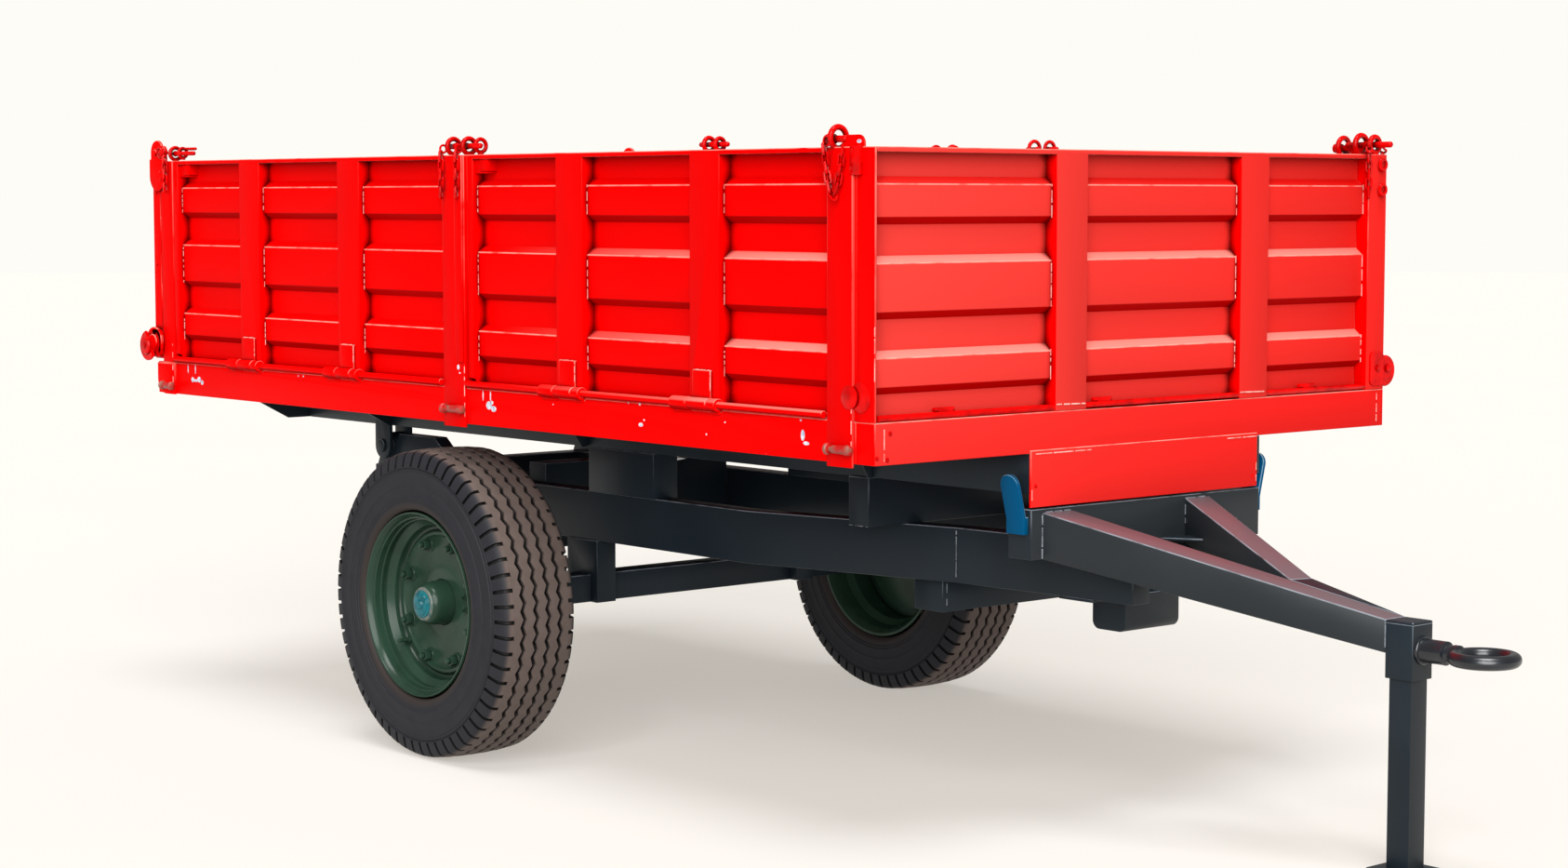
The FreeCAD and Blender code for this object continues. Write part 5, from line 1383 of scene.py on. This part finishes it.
for side in (-1, 1):
    for height in (70, 300, 520):
        place = (REAR_POST[0].x + 24 * MM, side * (HALF_WIDTH + 1.5 * MM), PLATFORM + height * MM)
        hardware.append(bolt(place, Y_AXIS * side, size=3, height=2))
settle(joined(hardware), "front_hardware", HARDWARE_RED, "body_paint", "bed", smooth=32)

# %% [markdown]
# ### The tailgate's cams
# At its foot the tailgate is drawn tight by a cam on each side: a half-moon on a stout boss, whose
# cut edge bears on a keeper plate on the post. The half-moon is a turned disc cut by a bisection.

# %% Cams
for name, side in SIDES.items():
    out = Y_AXIS * side
    foot = Vector((AXLE_X - 1516 * MM, side * PLATE, PLATFORM + 49 * MM))
    moon = turned([(20, 0), (20, 43), (22, 46), (27, 46), (29, 43), (29, 0)], foot, out, steps=48)
    edit(moon)
    bpy.ops.mesh.select_all(action="SELECT")
    bpy.ops.mesh.bisect(plane_co=foot + X_AXIS * 15 * MM, plane_no=(0.86, 0, 0.5), use_fill=True,
                        clear_outer=True)
    fresh()
    boss = turned([(-6, 0), (-6, 27), (34, 27), (38, 24), (39, 15), (39, 0)], foot, out, steps=40)
    nut = bolt(foot + out * 39 * MM + X_AXIS * 4 * MM, out, size=8, height=4)
    settle(joined([moon, boss, nut]), "gate_cam_" + name, HARDWARE_RED, "body_paint", "tailgate", smooth=32)
    near, far = sorted((side * (PLATE - 3 * MM), side * (PLATE + 7 * MM)))
    keeper = rounded((REAR_POST[0].x + 4 * MM, near, PLATFORM + 14 * MM),
                     (REAR_POST[0].x + 62 * MM, far, PLATFORM + 99 * MM), 1, 18 * MM, 5)
    settle(keeper, "gate_keeper_" + name, HARDWARE_RED, "body_paint", "bed", smooth=32)
    near, far = sorted((side * 885 * MM, side * (HALF_WIDTH - 0.5 * MM)))
    filler = block((FRONT_POST[1].x - 1 * MM, near, PLATFORM + 2 * MM),
                   (CORNER_POST[0].x + 1 * MM, far, TOP - 2 * MM), bevel=0.3 * MM)
    settle(filler, "corner_seam_" + name, BODY_RED, "body_paint", "bed")


# %% Tag plate and chips
def flake(place, out, wide, high, corners=11):
    """A ragged flake on a surface: a disc whose rim is pushed about, given a hair's thickness."""
    fresh()
    bpy.ops.mesh.primitive_circle_add(vertices=corners, radius=0.5, fill_type="NGON")
    piece = bpy.context.object
    edit(piece)
    bpy.ops.mesh.select_all(action="SELECT")
    bpy.ops.transform.resize(value=(wide * MM, high * MM, 1))
    for number in range(corners):
        reach = random.uniform(0.55, 1.2)
        angle = 2 * math.pi * number / corners
        target = Vector((math.cos(angle) * wide * 0.5 * MM, math.sin(angle) * high * 0.5 * MM, 0))
        pick("VERT", lambda spot, normal: (spot - target).length < 1e-5)
        bpy.ops.transform.translate(value=target * (reach - 1))
    bpy.ops.mesh.select_all(action="SELECT")
    bpy.ops.mesh.extrude_region_move(TRANSFORM_OT_translate={"value": (0, 0, 0.5 * MM)})
    bpy.ops.mesh.select_all(action="SELECT")
    bpy.ops.mesh.normals_make_consistent(inside=False)
    fresh()
    out = Vector(out)
    sideways = Z_AXIS.cross(out).normalized()
    piece.matrix_world = frame_of(sideways, out.cross(sideways), out, Vector(place) - out * 0.2 * MM)
    only(piece)
    bpy.ops.object.transform_apply(location=True, rotation=True, scale=True)
    return piece


CHIPS = ((-1297, 955, 18, 16, 907), (-1278, 953, 20, 9, 907), (-1258, 957, 22, 18, 907),
         (-1240, 949, 16, 14, 907), (275, 962, 26, 22, 907), (296, 954, 24, 16, 907),
         (288, 970, 14, 10, 907), (144, 1057, 12, 14, 914), (151, 1042, 7, 5, 914),
         (1701, 1047, 14, 14, 914), (1690, 1050, 8, 4, 914), (925, 950, 18, 10, 907),
         (938, 962, 6, 5, 907), (1531, 962, 14, 26, 907), (1543, 944, 22, 9, 907),
         (1524, 996, 6, 5, 907), (-683, 995, 5, 5, 907), (-655, 995, 6, 5, 907), (875, 1001, 5, 5, 907),
         (921, 1000, 8, 6, 907), (300, 1008, 10, 4, 907), (1250, 975, 5, 4, 907), (560, 980, 4, 4, 907),
         (1180, 942, 5, 5, 907))
LEFT_CHIPS = ((-1290, 950, 20, 12, 907), (330, 960, 22, 14, 907), (1500, 955, 18, 12, 907))
flakes = []
for side, spots in ((-1, CHIPS), (1, LEFT_CHIPS)):
    for x, z, wide, high, out in spots:
        flakes.append(flake((AXLE_X + x * MM, side * out * MM, z * MM), Y_AXIS * side, wide, high))
flakes.append(flake((FRONT - 58 * MM, -HALF_WIDTH + 3.6 * MM, TOP + 2 * MM), (0, -1, 0), 16, 9))
for x in (-1325, -1280, 248, 282):
    flakes.append(flake((AXLE_X + x * MM, -907 * MM, 987 * MM), (0, -1, 0), 5, 28))
settle(joined(flakes), "paint_chips", PRIMER, "body_paint", "bed", smooth=0)
tags = []
for side in (-1, 1):
    near, far = sorted((side * HALF_WIDTH, side * (HALF_WIDTH + 1.6 * MM)))
    tags.append(rounded((REAR + 38 * MM, near, PLATFORM - 43 * MM),
                        (REAR + 76 * MM, far, PLATFORM - 6 * MM), 1, 5 * MM, 3))
    for height in (14, 34):
        centre = Vector((REAR + 57 * MM, side * (HALF_WIDTH + 1 * MM), PLATFORM - height * MM))
        tags.append(turned([(-1, 0), (-1, 3), (1.4, 3), (2, 2), (2.1, 0)], centre, Y_AXIS * side, steps=12))
settle(joined(tags), "tag_plates", PRIMER, "body_paint", "bed")

# %% [markdown]
# ## The tow eye
# The eye is one forging: a round ring whose neck thickens into a turned shank, held in a sleeve on
# the drawbar's head by a flange. The ring is a torus; the neck, shank, sleeve and flange are one
# turned outline whose narrow end runs into the ring.

# %% The tow eye
EYE_LOW, EYE_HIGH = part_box("tow_eye")
MEAN = 65 * MM
SECTION = 16 * MM
SHANK_LENGTH = 104
SHANK = [(0, 0), (0, 33), (7, 33), (9, 31), (9, 28), (12, 27), (60, 27), (69, 27), (71, 24), (72, 21),
         (76, 20), (88, 19.5), (90, 22), (SHANK_LENGTH, 22)]
hoop_centre = Vector((EYE_HIGH.x - MEAN - SECTION, 0, (EYE_LOW.z + EYE_HIGH.z) / 2))
hoop = ring(hoop_centre, Z_AXIS, MEAN, SECTION, around=72, about=24)
root = Vector((HEAD_BOX[1].x, 0, hoop_centre.z))
room = (hoop_centre.x - MEAN - root.x) / MM
shank = [(reach * room / SHANK_LENGTH, radius) for reach, radius in SHANK]
shank += [(room + 4, 17), (room + 9, 11), (room + 10, 0)]
neck = turned(shank, root, X_AXIS, steps=40)
settle(joined([hoop, neck]), "tow_eye_shown", FORGED_DARK, "forged_paint", "chassis", smooth=40,
       replaces=("tow_eye",))
print("tow eye reaches", round(EYE_HIGH.x, 4))

# %% [markdown]
# ## Floor, light and camera
# A pale studio: a painted floor that runs out of sight into a white backdrop. The backdrop is a
# wide dome that only the camera sees, so that the light can be shaped apart from it: a dim sky, a
# broad key from the trailer's right front, a fainter one from overhead that leaves a pale shadow
# under the body, and a small hard lamp that only draws glints. Part of the floor's tone is its own
# glow, which keeps that shadow open, as bounced light does in a real studio.

# %% Floor and backdrop
SKY = 0.36
FLOOR_GLOW = 0.46
FLOOR_TONES = ("#959492", "#989794")
GLOW_TINT = "#fdf6ec"
SKY_TINT = "#fffefa"
LAMPS = (("key", (0.62, -0.62, 0.36), 1.45, 50), ("top", (0.2, -0.14, 1.0), 0.93, 30),
         ("spark", (0.42, -0.66, 0.62), 0.09, 4))
FLOOR_SIZE = 120.0
BACKDROP = "#fdfcf6"
fresh()
bpy.ops.mesh.primitive_plane_add(size=FLOOR_SIZE)
floor = bpy.context.object
floor.name = "floor"
FLOOR, tree, shader, place = finish("painted concrete, pale", 0.9, specular=0.0)
cloud = add(tree, "TexNoise", values={"Scale": every(2600), "Detail": 3.0}, links={"Vector": place})
tone = blend_of(tree, cloud.outputs["Fac"], *FLOOR_TONES)
tree.links.new(tone, shader.inputs["Base Color"])
shader.inputs["Emission Color"].default_value = linear(GLOW_TINT)
shader.inputs["Emission Strength"].default_value = FLOOR_GLOW
floor.data.materials.append(FLOOR)
fresh()
bpy.ops.mesh.primitive_uv_sphere_add(segments=64, ring_count=32, radius=FLOOR_SIZE * 0.45)
backdrop = bpy.context.object
backdrop.name = "backdrop"
PAPER = bpy.data.materials.new("backdrop paper")
PAPER.use_nodes = True
tree = PAPER.node_tree
tree.nodes.remove(tree.nodes["Principled BSDF"])
glow = add(tree, "Emission", values={"Color": linear(BACKDROP)})
tree.links.new(glow.outputs["Emission"], tree.nodes["Material Output"].inputs["Surface"])
backdrop.data.materials.append(PAPER)
for sort in ("diffuse", "glossy", "transmission", "volume_scatter", "shadow"):
    setattr(backdrop, "visible_" + sort, False)
sky = bpy.data.worlds.new("dim sky")
bpy.context.scene.world = sky
sky.use_nodes = True
sky.node_tree.nodes["Background"].inputs["Color"].default_value = linear(SKY_TINT)
sky.node_tree.nodes["Background"].inputs["Strength"].default_value = SKY
bpy.context.scene.view_settings.view_transform = "Standard"


# %% Lamps
def sun(name, toward_light, strength, spread):
    """A lamp so far off that it lights the whole floor alike; spread is its softness in degrees."""
    fresh()
    aim = -Vector(toward_light)
    bpy.ops.object.light_add(type="SUN", location=(0, 0, 6), rotation=aim.to_track_quat("-Z", "Y").to_euler())
    made = bpy.context.object
    made.name = name
    made.data.energy = strength * math.pi
    made.data.angle = math.radians(spread)


for lamp in LAMPS:
    sun(*lamp)

# %% Camera
CAMERA_AHEAD = 6.480
CAMERA_OUT = 5.204
CAMERA_HEIGHT = 1.510
LENS = 65.84
LOOK = Vector((-0.7569, 0.6485, -0.0814))
fresh()
bpy.ops.object.camera_add(location=(AXLE_X + CAMERA_AHEAD, -CAMERA_OUT, CAMERA_HEIGHT))
camera = bpy.context.object
camera.rotation_euler = LOOK.to_track_quat("-Z", "Y").to_matrix().to_euler()
camera.data.lens = LENS
camera.data.sensor_width = 36.0
bpy.context.scene.camera = camera
bpy.context.view_layer.update()
